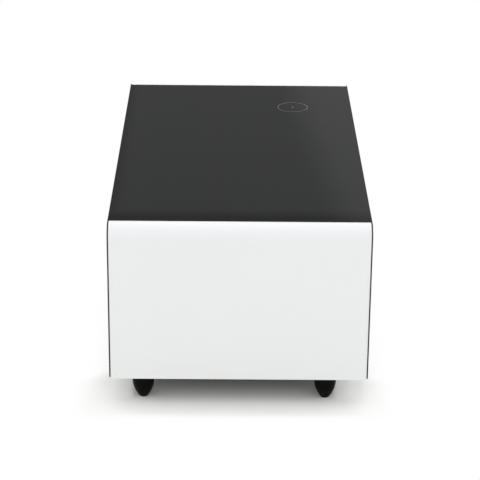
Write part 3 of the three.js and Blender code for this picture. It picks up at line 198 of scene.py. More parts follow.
def plain_finish(name, dark, light, roughness, waves, depth, cloud=6, stretch=(1, 1, 1), **sockets):
    """Colour clouds between dark and light, roughness between its two values, and a fine relief."""
    material = new_finish(name, **sockets)
    colour = blend_colours(material, between(material, noise(material, cloud, 4), 0, 1), dark, light)
    wandering = between(material, noise(material, 3 * cloud, 5), *roughness)
    return surface(material, colour, wandering, noise(material, waves, 3, stretch), depth)


print("finish helpers ready")

# %% [markdown]
# ## Machine bays
# The speakers, the fan and the compressor sit in two bays behind slotted panels. The bays are painted
# black inside, so that nothing pale shows between the slots. The boards are single pieces that also
# have pale faces elsewhere, so the paint is a mask by place and not a material of its own.

# %% Machine bays
hair = 0.0004
bay_inner = middle_of("right_partition").x
bay_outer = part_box("base_panel")[1].x + hair
bay_back = middle_of("rear_partition").y
bay_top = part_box("sub_top")[0].z
bay_black = (0.010, 0.010, 0.011)


def in_bay(material):
    """1 where |X| lies between the bay's two sides, Y before its back and Z under its top."""
    x, y, z = axes(material)
    side = combine(material, "ABSOLUTE", x)
    past_inner = between(material, side, 0, 1, bay_inner, bay_inner + hair)
    before_outer = between(material, side, 1, 0, bay_outer, bay_outer + hair)
    before_back = between(material, y, 1, 0, bay_back, bay_back + hair)
    under_top = between(material, z, 1, 0, bay_top + hair / 2, bay_top + hair)
    return combine(material, "MULTIPLY", past_inner, before_outer, before_back, under_top)


print("bays from", round(bay_inner, 3), "to", round(bay_outer, 3), "and back to", round(bay_back, 3))

# %% [markdown]
# ## White lacquer
# The ends are boards bent over at the top and sprayed in a glossy, slightly cool white. Sprayed
# lacquer is never quite flat: a faint orange peel of a few millimetres shows in reflections. Light
# scuffs sit where shoes and brooms touch, low on the panel, so a mask by height lets them in there.

# %% White lacquer
lacquer_shades = (0.796, 0.804, 0.818), (0.810, 0.817, 0.830)
scuff_grey = (0.56, 0.56, 0.55)
scuff_levels = (0.066, 0.13)


def white_lacquer():
    """Slow and fine noise in equal shares blend the shades. Scuffs lie low down, and the bays are black."""
    material = new_finish("white lacquer", Coat_Weight=0.25, Coat_Roughness=0.08)
    shade = blend_colours(material, 0.5, noise(material, 2.5, 2), noise(material, 600, 1))
    paint = blend_colours(material, between(material, shade, 0, 1), *lacquer_shades)
    low_down = between(material, axes(material)[2], 1, 0, *scuff_levels)
    marks = between(material, noise(material, 60, 8, (1, 1, 6)), 0, 0.35, 0.66, 0.72)
    paint = blend_colours(material, combine(material, "MULTIPLY", low_down, marks), paint, scuff_grey)
    colour = blend_colours(material, in_bay(material), paint, bay_black)
    roughness = between(material, noise(material, 7, 2), 0.29, 0.33, 0.2, 0.8)
    return surface(material, colour, roughness, noise(material, 220, 1), 0.000004)


finish_of_slot = {"white_lacquer": white_lacquer()}
print("made", finish_of_slot["white_lacquer"].name)

# %% [markdown]
# ## Black glass
# The top is one pane of tempered glass, coated black on its underside: nearly a mirror at this low
# angle, so its grey comes from the room that it reflects. Towards the left end and the back edge the
# coating is painted darker, as painted shade in place of the dark reflections along those edges.
# Wiped glass keeps faint clouds of polish, which only the roughness shows.

# %% Black glass
glass_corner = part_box("glass_top")[1]
# painted shade: spans and colour for darkening the coating towards the left end and the back edge
end_shade_span = (glass_corner.x - 0.077, glass_corner.x - 0.026)
back_shade_span = (glass_corner.y - 0.030, glass_corner.y)
painted_edge_shade = (0.0010, 0.0013, 0.0012)


def black_glass(name, dark, light, painted_edges=False, **sockets):
    """When asked, painted shade darkens the coating: one mask grows towards -X and one towards +Y, the
    stronger wins.
    """
    material = new_finish(name, IOR=1.5, **sockets)
    coating = blend_colours(material, noise(material, 3, 5), dark, light)
    if painted_edges:
        x, y, _ = axes(material)
        # painted shade in place of dark edge reflections, towards -X and towards +Y
        end = between(material, combine(material, "MULTIPLY", x, -1), 0, 1, *end_shade_span)
        edge = combine(material, "MAXIMUM", end, between(material, y, 0, 0.7, *back_shade_span))
        coating = blend_colours(material, edge, coating, painted_edge_shade)
    roughness = between(material, noise(material, 11, 6), 0.035, 0.075, 0.3, 0.7)
    return surface(material, coating, roughness, noise(material, 4, 1), 0.00002, 0.4)


top_shades = (0.0128, 0.0137, 0.0134), (0.0150, 0.0160, 0.0157)
front_shades = (0.006, 0.0063, 0.0062), (0.009, 0.0094, 0.0093)
top_glass = black_glass("black top glass", *top_shades, painted_edges=True)
finish_of_slot["black_glass"] = black_glass("black facing glass", *front_shades, Specular_IOR_Level=0.35)
print("made", top_glass.name, "and", finish_of_slot["black_glass"].name)

# %% [markdown]
# ## Metals, plastics, rubber and board
# The rest are plain shop materials, and one helper covers most: clouds of two near colours, a
# roughness that wanders, and a fine grain whose waves per metre set its size. Brushed metal is the
# same grain stretched along one axis, and a zinc coat is the same on broad crystals. What stands
# behind the grilles, the finned coil and the power supply, is aluminium under a black coat, so that
# nothing bright shows through the slots.

# %% Shop materials
finish_of_slot |= {
    "black_trim": plain_finish(
        "black anodised trim", (0.012, 0.012, 0.013), (0.020, 0.020, 0.022), (0.29, 0.40), 900, 0.00001,
        Metallic=0.6, stretch=(0.05, 1, 1)),
    "black_plastic": plain_finish(
        "black moulded plastic", (0.010, 0.010, 0.011), (0.017, 0.017, 0.018), (0.42, 0.58), 1500, 0.00003),
    "foot_rubber": plain_finish(
        "foot rubber", (0.0022, 0.0023, 0.0017), (0.0040, 0.0041, 0.0032), (0.30, 0.45), 700, 0.00004,
        cloud=30, Specular_IOR_Level=0.05),
    "cabinet_plastic": plain_finish(
        "fridge liner", (0.74, 0.76, 0.77), (0.79, 0.80, 0.81), (0.3, 0.42), 800, 0.00003, cloud=8),
    "bin_plastic": plain_finish(
        "bin plastic", (0.60, 0.68, 0.71), (0.66, 0.73, 0.76), (0.18, 0.26), 600, 0.00002, cloud=10,
        Subsurface_Weight=0.25),
    "gasket_rubber": plain_finish(
        "gasket rubber", (0.15, 0.16, 0.165), (0.19, 0.20, 0.205), (0.5, 0.65), 900, 0.00003, cloud=20),
    "aluminium": plain_finish(
        "brushed aluminium", (0.50, 0.51, 0.52), (0.60, 0.61, 0.62), (0.29, 0.42), 1600, 0.00002,
        Metallic=1.0, stretch=(0.03, 1, 1)),
    "compressor_enamel": plain_finish(
        "black enamel", (0.008, 0.008, 0.009), (0.016, 0.016, 0.017), (0.29, 0.42), 300, 0.00005, cloud=14),
    "coil_ferrite": plain_finish(
        "ferrite", (0.055, 0.058, 0.062), (0.08, 0.082, 0.086), (0.5, 0.65), 900, 0.00004),
    "light_diffuser": plain_finish(
        "light diffuser", (0.82, 0.81, 0.74), (0.88, 0.87, 0.80), (0.35, 0.5), 1200, 0.00003),
}
coated = plain_finish("black coated aluminium", (0.022, 0.022, 0.023), (0.040, 0.040, 0.040), (0.35, 0.50),
                      500, 0.00003, cloud=25)
print("made", len(bpy.data.materials), "materials so far")

# %% [markdown]
# ## Melamine board
# The carcass boards are chipboard with a warm white melamine skin. Where an edge could be seen in a
# joint of the black fronts, it has black edging, and the bays are black too. The underside is painted
# black as well, as painted shade: it throws less light down, so the shadow under the body is darker.
# Strips could be modelled for the edging, but they are thinner than a hair, so the finish paints
# them by place: whatever lies in the plane behind the facings or in the underside is dark.

# %% Melamine board
edging_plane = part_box("centre_post")[1].y
base_low, base_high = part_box("base_panel")


def melamine_board():
    """Dark in the edging's plane, on the base panel's long edges and in the bays; dark underneath as painted
    shade.
    """
    material = new_finish("melamine board")
    warm_white = blend_colours(material, noise(material, 12, 3), (0.66, 0.65, 0.62), (0.71, 0.70, 0.67))
    _, y, z = axes(material)
    depth = combine(material, "ABSOLUTE", y)
    edging = between(material, depth, 0, 1, edging_plane - 2 * hair, edging_plane - hair)
    base_edge = between(material, depth, 0, 1, base_high.y - 2 * hair, base_high.y - hair)
    in_base = between(material, z, 1, 0, base_high.z, base_high.z + hair / 2)
    base_edging = combine(material, "MULTIPLY", base_edge, in_base)
    # painted shade: the underside is black so that the shadow under the body stays dark
    underside = between(material, z, 1, 0, base_low.z + hair, base_low.z + 2 * hair)
    dark = combine(material, "MAXIMUM", edging, base_edging, underside, in_bay(material))
    colour = blend_colours(material, dark, warm_white, bay_black)
    roughness = between(material, noise(material, 35, 4), 0.45, 0.6)
    return surface(material, colour, roughness, noise(material, 1200, 3), 0.00003)


finish_of_slot["board"] = melamine_board()
print("made", finish_of_slot["board"].name, "with edging from", round(edging_plane - 2 * hair, 4))

# %% [markdown]
# ## Zinc, copper and the printed board
# Zinc-plated steel shows crystals a few millimetres across, which cells of a Voronoi pattern give.
# Copper darkens in patches where it was soldered and handled. A circuit board is green lacquer over
# copper tracks: two wave patterns, cut off hard, stand for the tracks that run along and across.

# %% Zinc, copper and circuit board
def zinc_steel():
    """Each crystal's own red value sets its tint and its roughness, and grease lies over some of them."""
    material = new_finish("zinc plated steel", Metallic=1.0)
    crystals = node(material, "TexVoronoi", {"Vector": object_place(material, (1, 0.5, 1)), "Scale": 420})
    shade = node(material, "SeparateColor", {"Color": crystals.outputs["Color"]}).outputs["Red"]
    tint = blend_colours(material, shade, (0.44, 0.45, 0.46), (0.58, 0.59, 0.60))
    grease = between(material, noise(material, 40, 6), 0, 0.5, 0.6, 0.75)
    colour = blend_colours(material, grease, tint, (0.30, 0.29, 0.27))
    grain = noise(material, 900, 2, (1, 0.1, 1))
    return surface(material, colour, between(material, shade, 0.29, 0.42, 0, 1), grain, 0.00001)


def copper_tube():
    """Bright copper where the patina's noise is low, brown where it is high."""
    material = new_finish("copper tube", Metallic=1.0)
    patina = between(material, noise(material, 35, 6), 0, 1, 0.45, 0.7)
    colour = blend_colours(material, patina, (0.62, 0.30, 0.17), (0.30, 0.14, 0.085))
    roughness = between(material, noise(material, 90, 4), 0.29, 0.45)
    return surface(material, colour, roughness, noise(material, 500, 2), 0.00002)


def circuit_board():
    """A wave along X and one along Z, both cut off hard: the larger of the two is copper."""
    material = new_finish("circuit board")
    tracks = []
    for direction in "XZ":
        inputs = {"Vector": object_place(material), "Scale": 70, "Distortion": 6, "Detail": 1}
        bands = node(material, "TexWave", inputs, bands_direction=direction).outputs["Fac"]
        tracks.append(between(material, bands, 0, 1, 0.80, 0.84))
    copper = combine(material, "MAXIMUM", *tracks)
    colour = blend_colours(material, copper, (0.008, 0.085, 0.035), (0.02, 0.16, 0.065))
    return surface(material, colour, between(material, copper, 0.42, 0.30, 0, 1), copper, 0.00004)


finish_of_slot |= {"zinc_steel": zinc_steel(), "copper_tube": copper_tube(), "circuit_board": circuit_board()}
print("slots with a finish:", len(finish_of_slot))

# %% [markdown]
# ## Dressing the CAD nodes
# A CAD node keeps its mesh and gets its finish through its material slot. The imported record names
# a slot for every node, so one table from slot to finish dresses all sixty. The glass top and the
# power supply differ from the others in their slots and are dressed after them.

# %% Finishes on the CAD nodes
slot_of_node = {row["node"]: row["material_slot"] for row in frame["record"]["subparts"]}
for name, slot in slot_of_node.items():
    frame["nodes"][name].material_slots[0].material = finish_of_slot[slot]
frame["nodes"]["glass_top"].material_slots[0].material = top_glass
frame["nodes"]["power_supply"].material_slots[0].material = coated
print("dressed", len(slot_of_node), "nodes")

# %% [markdown]
# ## Surfaces from grids of points
# Every new piece is a grid of points worked out with numpy: row by row along the piece, column by
# column around it. A bought-in shape such as a primitive could be bent into place, but a grid says
# exactly where each point is and why. Open ends are closed by a fan to their middle.

# %% Grid meshes
def cells(numbers):
    """The four corner numbers of every cell in a grid of point numbers."""
    return np.stack([numbers[:-1, :-1], numbers[:-1, 1:], numbers[1:, 1:], numbers[1:, :-1]], axis=-1)


def closed_mesh(points, faces):
    """A closed skin, right side out: its volume is a sixth of the sum of the determinants of all its
    triangles' corners, and where that comes out negative, every face is turned over."""
    mesh = bpy.data.meshes.new("piece")
    mesh.from_pydata(points.tolist(), [], faces)
    mesh.validate()
    mesh.calc_loop_triangles()
    corners = np.array([triangle.vertices[:] for triangle in mesh.loop_triangles])
    if np.linalg.det(points[corners]).sum() < 0:
        mesh.flip_normals()
    return mesh


def grid_mesh(grid, closed=False):
    """One four-sided face per cell of grid (rows x columns x 3), whose last column meets its first.
    closed joins the last row to the first too; otherwise both ends get a fan to their middle."""
    rows, columns = grid.shape[:2]
    numbers = np.arange(rows * columns).reshape(rows, columns)
    wide = np.concatenate([numbers, numbers[:, :1]], axis=1)
    faces = cells(np.concatenate([wide, wide[:1]]) if closed else wide).reshape(-1, 4).tolist()
    points = grid.reshape(-1, 3)
    if not closed:
        for pole, edge in enumerate((wide[0][::-1], wide[-1]), start=len(points)):
            faces += np.stack([edge[:-1], edge[1:], np.full(columns, pole)], axis=-1).tolist()
        points = np.concatenate([points, grid[[0, -1]].mean(axis=1)])
    return closed_mesh(points, faces)


print("grid meshes ready")

# %% [markdown]
# ## From mesh to piece
# A piece needs a finish and a body to ride on. It takes its body from the CAD part that it stands for
# or belongs to, and its finish from that part's slot in the record. Smooth shading with edges kept
# sharp past an angle suits turned and moulded forms. Cut panels get a Bevel modifier as well, because
# a real edge is eased and catches a thin line of light.

# %% Pieces
bodies = frame["record"]["behaviour"]["bodies"]
body_of_node = {part: body for body, parts in bodies.items() for part in parts}


def make_piece(name, mesh, part, finish=None, slot=None, extra=False, sharp=35, ease=0.0):
    """Links the mesh as a piece on the part's body, with the finish of the part's slot unless a finish or
    another slot is given. It replaces the part, unless it is extra. ease is the radius of its bevelled edges."""
    slot = slot or slot_of_node[part]
    piece = bpy.data.objects.new(name, mesh)
    bpy.context.scene.collection.objects.link(piece)
    mesh.name = name
    mesh.materials.append(finish or finish_of_slot[slot])
    mesh.shade_smooth()
    mesh.set_sharp_from_angle(angle=math.radians(sharp))
    if ease:
        bevel = piece.modifiers.new("eased edges", "BEVEL")
        bevel.width = ease
        bevel.segments = 3
        bevel.limit_method = "ANGLE"
        bevel.angle_limit = math.radians(sharp)
        bevel.harden_normals = True
    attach(piece, body_of_node[part])
    if not extra:
        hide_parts(part)
    print("piece", name, "with", len(mesh.vertices), "points")
    return piece


print("parts that pieces can stand for:", len(body_of_node))

# %% [markdown]
# ## The body's outline
# Seen from the front, the body is a rectangle whose upper corners are quarter circles of 35 mm. The
# facings have small round lower corners too, while the white boards are cut square there. Boards
# and facings share the upper arc, so it is written once. The overall sizes come from the frame.

# %% Outline arcs
half_length, half_width, body_top = cad_high
body_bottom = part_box("right_end_panel")[0].z
top_radius = 0.035
corner_radius = 0.010
panel_thickness = 0.018
arc_centre = (half_length - top_radius, body_top - top_radius)
corner_centre = (half_length - corner_radius, body_bottom + corner_radius)
both_sides = (("left", -1), ("right", 1))


def arc(centre, radius, start, end, steps):
    """Points at centre plus radius times cosine and sine, from the angle start to end in degrees."""
    angles = np.radians(np.linspace(start, end, steps))
    return np.stack([np.cos(angles), np.sin(angles)], axis=-1) * radius + centre


def slab(outline, near, far, places=((0, 0),)):
    """An outline of (x, z) points, moved to each place and carried straight from y = near to y = far."""
    count = len(outline)
    rows = np.arange(2 * count).reshape(2, count)
    sides = cells(np.concatenate([rows, rows[:, :1]], axis=1))[0].tolist()
    block = sides + [rows[0][::-1].tolist(), rows[1].tolist()]
    starts = [2 * count * turn for turn in range(len(places))]
    faces = [[start + number for number in face] for start in starts for face in block]
    points = [np.insert(outline + place, 1, y, axis=1) for place in places for y in (near, far)]
    return closed_mesh(np.concatenate(points), faces)


print("body from", round(body_bottom, 3), "to", round(body_top, 3))

# %% [markdown]
# ## End panels
# Each end is a board that rises from the floor gap, turns through a quarter circle and meets the
# glass flush. It could be a box with a bevelled edge, but its inner face is bent too, with the same
# thickness all the way, so the whole section is drawn once and carried from front to back.

# %% End panels
board_ease = 0.0007


def end_panel_outline():
    """Up the outer face, round the outer arc, back round the inner arc and down the inner face."""
    outer_arc = arc(arc_centre, top_radius, 0, 90, 33)
    inner_arc = arc(arc_centre, top_radius - panel_thickness, 90, 0, 25)
    outer_foot, inner_foot = (half_length, body_bottom), (half_length - panel_thickness, body_bottom)
    return np.concatenate([[outer_foot], outer_arc, inner_arc, [inner_foot]])


panel_near, panel_far = (corner.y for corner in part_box("right_end_panel"))
for side, sign in both_sides:
    mesh = slab(end_panel_outline() * (sign, 1), panel_near, panel_far)
    make_piece(f"{side}_end_board", mesh, f"{side}_end_panel", ease=board_ease)

# %% [markdown]
# ## Storage facings
# The back's two black facings are thin sheets that follow the outline at their outer corners. In
# the photograph they are the dark hairlines beside the white end, so their thickness and the height
# at which they stop matter more than their face.

# %% Storage facings
glass_ease = 0.0002


def facing_outline(inner_x, top_z):
    """From inner_x along the bottom, round the eased corner, up, and round the arc to top_z."""
    rise = math.degrees(math.asin((top_z - arc_centre[1]) / top_radius))
    corner = arc(corner_centre, corner_radius, -90, 0, 9)
    shoulder = arc(arc_centre, top_radius, 0, rise, 17)
    return np.concatenate([[(inner_x, body_bottom)], corner, shoulder, [(inner_x, top_z)]])


for side, sign in both_sides:
    low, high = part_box(f"storage_{side}_facing")
    outline = facing_outline(min(abs(low.x), abs(high.x)), high.z) * (sign, 1)
    mesh = slab(outline, low.y, high.y)
    make_piece(f"storage_{side}_front", mesh, f"storage_{side}_facing", ease=glass_ease)

# %% [markdown]
# ## Speaker panels
# Each speaker panel is the same thin sheet with a row of upright slots. A boolean could cut them,
# but a grid does it more neatly: columns stand at the slot edges, rows at the slot ends, and the
# cells inside a slot are left out. The last column bends with the outline, and Solidify and Bevel
# give the sheet its thickness and the slots their eased rims.

# %% Speaker panels
slot_width = 0.0035
slot_pitch = 0.008
slot_margin = 0.024
slot_bottom_inset = 0.040
slot_top_inset = 0.036
slot_ease = 0.0003


def outline_x(levels):
    """The outline's x at each level: past a corner's centre it is the centre's x plus the root of
    the radius squared less the height above (or depth below) that centre squared."""
    above = np.clip(levels - arc_centre[1], 0, top_radius)
    below = np.clip(corner_centre[1] - levels, 0, corner_radius)
    shoulder = arc_centre[0] + np.sqrt(top_radius**2 - above**2)
    corner = corner_centre[0] + np.sqrt(corner_radius**2 - below**2)
    return np.minimum(shoulder, corner)


def grille_mesh(inner_x, top_z, outer_y):
    """Columns at both edges of every slot, rows at the slots' ends and round the outline's corners."""
    slot_z = (body_bottom + slot_bottom_inset, top_z - slot_top_inset)
    span = (inner_x + slot_margin, half_length - slot_margin)
    centres = np.linspace(*span, round((span[1] - span[0]) / slot_pitch) + 1)
    columns = np.sort([inner_x, *(centres - slot_width / 2), *(centres + slot_width / 2)])
    lower = corner_centre[1] - corner_radius * np.cos(np.radians(np.linspace(0, 90, 9)))
    upper = arc_centre[1] + (top_z - arc_centre[1]) * np.linspace(0, 1, 13)
    levels = np.concatenate([lower, slot_z, upper])
    across = np.concatenate([np.tile(columns, (len(levels), 1)), outline_x(levels)[:, None]], axis=1)
    upward = np.repeat(levels[:, None], across.shape[1], axis=1)
    grid = np.stack([across, np.full_like(across, outer_y), upward], axis=-1)
    faces = cells(np.arange(across.size).reshape(across.shape))
    is_slot = np.zeros(faces.shape[:2], bool)
    is_slot[len(lower), 1:-1:2] = True
    mesh = bpy.data.meshes.new("piece")
    mesh.from_pydata(grid.reshape(-1, 3).tolist(), [], faces[~is_slot].tolist())
    return mesh


for side, sign in both_sides:
    low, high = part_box(f"{side}_speaker_panel")
    mesh = grille_mesh(min(abs(low.x), abs(high.x)), high.z, low.y)
    if sign < 0:
        mesh.transform(Matrix.Scale(-1, 4, (1, 0, 0)))
        mesh.flip_normals()
    grille = make_piece(f"{side}_grille", mesh, f"{side}_speaker_panel")
    wall = grille.modifiers.new("sheet thickness", "SOLIDIFY")
    wall.thickness = high.y - low.y
    wall.offset = -1
    rims = grille.modifiers.new("eased rims", "BEVEL")
    rims.width = slot_ease
    rims.segments = 2
    rims.limit_method = "ANGLE"

# %% [markdown]
# ## Feet
# The feet are dark rubber domes that swell from a small tread into a short stem. The photograph
# shows them from the side: the radius grows fast at the tread and slowly above it. Turning such a
# profile about an upright line is the potter's way, and the grid does it with an angle per column.

# %% Feet
foot_radius = 0.0265
tread_radius = 0.011
tread_rounding = 0.002
dome_height = 0.048
dome_power = 2.3
groove_depth = 0.0008
groove_levels = (0.0580, 0.0586, 0.0596, 0.0602)
flange_ease = 0.0006


def turned_mesh(profile, centre, sides=72, axis="Z", closed=False):
    """Every (radius, height) pair of the profile becomes a ring: radius times cosine and sine of
    the angle, at that height along the axis, all moved to centre. closed joins last ring to first."""
    angles = np.linspace(0, 2 * np.pi, sides, endpoint=False)
    radii, heights = np.array(profile).T[..., None]
    cosine, sine, level = radii * np.cos(angles), radii * np.sin(angles), heights + np.zeros(sides)
    parts = [cosine, sine, level] if axis == "Z" else [cosine, level, sine]
    return grid_mesh(np.stack(parts, axis=-1) + np.array(centre), closed)


def foot_profile(top):
    """A rounded tread, the dome radius = full - (full - tread) (1 - share)^power, and a stem with
    a shallow groove under its flange."""
    tread = arc((tread_radius - tread_rounding, tread_rounding), tread_rounding, -90, -8, 8)
    share = np.linspace(0, 1, 28)
    swell = foot_radius - (foot_radius - tread_radius) * (1 - share) ** dome_power
    dome = np.stack([swell, tread_rounding + (dome_height - tread_rounding) * share], axis=-1)
    groove_radius = foot_radius - groove_depth
    groove = [*zip((foot_radius, groove_radius, groove_radius, foot_radius), groove_levels)]
    flange = [(foot_radius, top - flange_ease), (foot_radius - flange_ease, top)]
    return np.concatenate([tread, dome, groove, flange])


for name in ("foot_front_left", "foot_front_right", "foot_back_left", "foot_back_right"):
    middle, top = middle_of(name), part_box(name)[1].z
    mesh = turned_mesh(foot_profile(top), (middle.x, middle.y, 0))
    make_piece(f"rubber_{name}", mesh, name)

# %% [markdown]
# ## Charging mark
# A thin light ring with a dot in its middle is printed on the glass over the charging coil. It
# could be part of the glass's material, but a film of ink that stands a few hundredths of a
# millimetre proud keeps its hairline sharp however the finish is baked.

# %% Charging mark
mark_radius, mark_line = 0.0412, 0.0011
mark_inner = mark_radius - mark_line
dot_radius = 0.0028
ink_height = 0.00006
coil_middle = middle_of("charging_coil")
ink = plain_finish("light grey ink", (0.17, 0.175, 0.175), (0.24, 0.245, 0.245), (0.35, 0.5), 2000, 0.00001,
                   cloud=60)
ring_profile = [(mark_inner, -ink_height), (mark_inner, ink_height),
                (mark_radius, ink_height), (mark_radius, -ink_height)]
dot_profile = [(dot_radius, -ink_height), (dot_radius, ink_height)]
mark_place = (coil_middle.x, coil_middle.y, body_top)
for name, profile, sides in (("charging_ring", ring_profile, 120), ("charging_dot", dot_profile, 24)):
    mesh = turned_mesh(profile, mark_place, sides, closed=profile is ring_profile)
    make_piece(name, mesh, "glass_top", ink, "light_diffuser", extra=True)

# %% [markdown]
# ## Rounded rings
# The fridge's moulded parts are all stacks of rounded rectangles: the bin, the liner and the
# gasket's path. One function gives such a ring with the same number of points whatever its size,
# so any two rings can be joined by a grid, and another sets it inside a box, across one axis.

# %% Rounded rings
corner_steps = 9
edge_steps = 14
ring_axes = {"X": [1, 2, 0], "Y": [0, 2, 1], "Z": [0, 1, 2]}


def rounded_ring(half_x, half_y, radius):
    """Four quarter circles of the radius, set in from the corners, with evenly spaced points on the
    straight edges between them, counter-clockwise from the right edge's lower end."""
    corners = []
    for turn, (sign_x, sign_y) in enumerate(((1, 1), (-1, 1), (-1, -1), (1, -1))):
        centre = (sign_x * (half_x - radius), sign_y * (half_y - radius))
        corners.append(arc(centre, radius, 90 * turn, 90 * turn + 90, corner_steps))
    share = np.linspace(0, 1, edge_steps + 2)[1:-1, None]
    runs = []
    for corner, following in zip(corners, corners[1:] + corners[:1]):
        runs += [corner, corner[-1] + (following[0] - corner[-1]) * share]
    return np.concatenate(runs)


def ring_across(box, inset, radius, level, axis="Z"):
    """A rounded ring at that level of the axis, set in from the sides of the box (low, high)."""
    order = ring_axes[axis]
    low, high = np.array(box)[:, order[:2]]
    ring = rounded_ring(*((high - low) / 2 - inset), radius) + (low + high) / 2
    placed = np.empty((len(ring), 3))
    placed[:, order] = np.insert(ring, 2, level, axis=1)
    return placed


print("points per ring:", len(rounded_ring(1, 1, 0.1)))

# %% [markdown]
# ## Fridge bin
# The drawer's bin is one vacuum-formed tub: drafted walls, a rim that folds out and down, and at
# both sides a deeper flap that the slides are screwed to. It is drawn as one skin, from the middle
# of the floor up the inside, over the rim, down the lip and back under to the middle again. Only
# the depth of the lip changes round the rim, and a smooth window function sets it.

# %% Fridge bin
bin_low, bin_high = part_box("fridge_bin")
bin_half = (bin_high - bin_low) / 2
bin_wall = 0.003
bin_draft = 0.010
bin_corner, least_corner, corner_shrink = 0.034, 0.016, 0.7
bin_rim_width = 0.010
bin_lip = 0.014
bin_flap = 0.062
flap_half_span, flap_fade = 0.090, 0.014
bin_floor_radius = 0.014
rim_ease, lip_ease, inner_ease = 0.0015, 0.0010, 0.0008


def bin_ring(inset, level):
    """The bin's outline moved in by the inset, with corners that shrink by a share of it."""
    radius = max(bin_corner - corner_shrink * inset, least_corner)
    return ring_across((bin_low, bin_high), inset, radius, level)


def smooth_window(values, half_span, fade):
    """1 inside half_span, 0 past half_span plus fade, and 3 t^2 - 2 t^3 between."""
    t = np.clip((half_span + fade - np.abs(values)) / fade, 0, 1)
    return t * t * (3 - 2 * t)


def lip_depths():
    """The plain lip, and the flap's depth more where a point lies on a side and within the flap."""
    ring = rounded_ring(bin_half.x, bin_half.y, bin_corner)
    on_side = np.abs(ring[:, 0]) > bin_half.x - 1e-6
    return bin_lip + (bin_flap - bin_lip) * smooth_window(ring[:, 1], flap_half_span, flap_fade) * on_side


def bin_mesh():
    """Rows of (inset, level): floor fillet, inner wall, rim, lip, under-rim, outer wall and fillet."""
    top = bin_high.z
    fillet_centre = (bin_rim_width + bin_draft + bin_floor_radius, bin_low.z + bin_floor_radius)
    outer = arc(fillet_centre, bin_floor_radius, -180, -90, 7)
    inner = outer[::-1] + bin_wall
    mouth = bin_rim_width + bin_wall
    rim = [(mouth, top - rim_ease), (mouth - inner_ease, top), (rim_ease, top), (0, top - rim_ease)]
    rows = [bin_ring(*row) for row in (*inner, *rim)]
    for inset, ease in ((0, lip_ease), (lip_ease, 0), (bin_wall - inner_ease, 0), (bin_wall, lip_ease)):
        row = bin_ring(inset, top)
        row[:, 2] -= lip_depths() - ease
        rows.append(row)
    under_rim = [(bin_wall, top - bin_wall), (bin_rim_width, top - bin_wall)]
    rows += [bin_ring(*row) for row in (*under_rim, *outer)]
    return grid_mesh(np.array(rows))


make_piece("chilled_bin", bin_mesh(), "fridge_bin")

# %% [markdown]
# ## Bin ribs
# Low half-round ribs stiffen the bin's floor and keep bottles from rolling. They repeat at one
# pitch, so they are one mesh: a half circle carried across the floor, once for each place.

# %% Bin ribs
rib_count = 8
rib_radius = 0.003
rib_pitch = 0.0493
rib_reach = bin_half.y - bin_rim_width - bin_draft - bin_floor_radius - bin_wall
bin_middle_y = middle_of("fridge_bin").y

rib_section = arc((0, bin_low.z + bin_wall), rib_radius, -12, 192, 12)
rib_places = [((turn - (rib_count - 1) / 2) * rib_pitch, 0) for turn in range(rib_count)]
ribs = slab(rib_section, bin_middle_y - rib_reach, bin_middle_y + rib_reach, rib_places)
make_piece("bin_ribs", ribs, "fridge_bin", extra=True)

# %% [markdown]
# ## Fridge liner and shell
# The cabinet is foam between two skins. Its inside is a moulded liner with round corners, and the
# mouth is eased where the gasket seals. As with the bin, one skin runs from the middle of the back
# round the outside, over the mouth and in to the middle of the liner's back wall.

# %% Fridge cabinet
cabinet_low, cabinet_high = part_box("fridge_cabinet")
cabinet_wall = 0.032
shell_corner, liner_corner = 0.002, 0.018
mouth_radius = 0.004
back_fillet = 0.012
shell_ease = 0.001


def cabinet_ring(inset, depth):
    """A rounded rectangle across the cabinet, whose corners grow round as it moves in."""
    radius = shell_corner + (liner_corner - shell_corner) * min(inset / cabinet_wall, 1)
    return ring_across((cabinet_low, cabinet_high), inset, radius, depth, "Y")


def cabinet_mesh():
    """Rows of (inset, y): back edge, front edge, eased mouth, liner wall, fillet to the back wall."""
    front, back = cabinet_low.y, cabinet_high.y
    outside = [(shell_ease, back), (0, back - shell_ease), (0, front + shell_ease), (shell_ease, front)]
    mouth = arc((cabinet_wall - mouth_radius, front + mouth_radius), mouth_radius, -90, 0, 6)
    fillet_centre = (cabinet_wall + back_fillet, back - cabinet_wall - back_fillet)
    fillet = arc(fillet_centre, back_fillet, 180, 90, 6)
    return grid_mesh(np.array([cabinet_ring(*row) for row in (*outside, *mouth, *fillet)]))


make_piece("fridge_shell", cabinet_mesh(), "fridge_cabinet")

# %% [markdown]
# ## Door gasket
# The magnetic gasket is one extruded rubber section welded at its corners: a dart that snaps into
# the door's groove, a bellows, and a flat pad that holds the magnet. The section is a closed curve,
# and the path is a rounded rectangle, so each row of the grid is the section moved along the path.

# %% Gasket
gasket_low, gasket_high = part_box("fridge_gasket")
gasket_width = 0.014
gasket_radius, least_gasket_radius = 0.012, 0.003
# The section's right half, as shares of its width and of its height above the dart's tip
right_half = np.array([[0.76, 0], [0.76, 0.26], [1, 0.28], [1, 0.44], [0.90, 0.50], [0.84, 0.60],
                       [0.90, 0.70], [1, 0.78], [1, 0.97], [0.94, 1]])
left_half = np.array([1, 0]) + right_half[::-1] * (-1, 1)


def gasket_mesh():
    """Each section point has an inset (across) and a depth (y), and its ring has a point per row."""
    columns = []
    for across, height in (*right_half, *left_half):
        inset = across * gasket_width
        radius = max(gasket_radius - inset, least_gasket_radius)
        y = gasket_low.y + height * (gasket_high.y - gasket_low.y)
        columns.append(ring_across((gasket_low, gasket_high), inset, radius, y, "Y"))
    return grid_mesh(np.stack(columns, axis=1), closed=True)


make_piece("door_seal", gasket_mesh(), "fridge_gasket", sharp=50)

# %% [markdown]
# ## Eased edges
# Some CAD parts have the right shape but razor edges, and no real edge is that sharp. A copy of such
# a part has its loose triangles merged and its flat faces joined, so that a Bevel modifier finds
# true edges. The copy then stands for the part; the part itself is never touched.

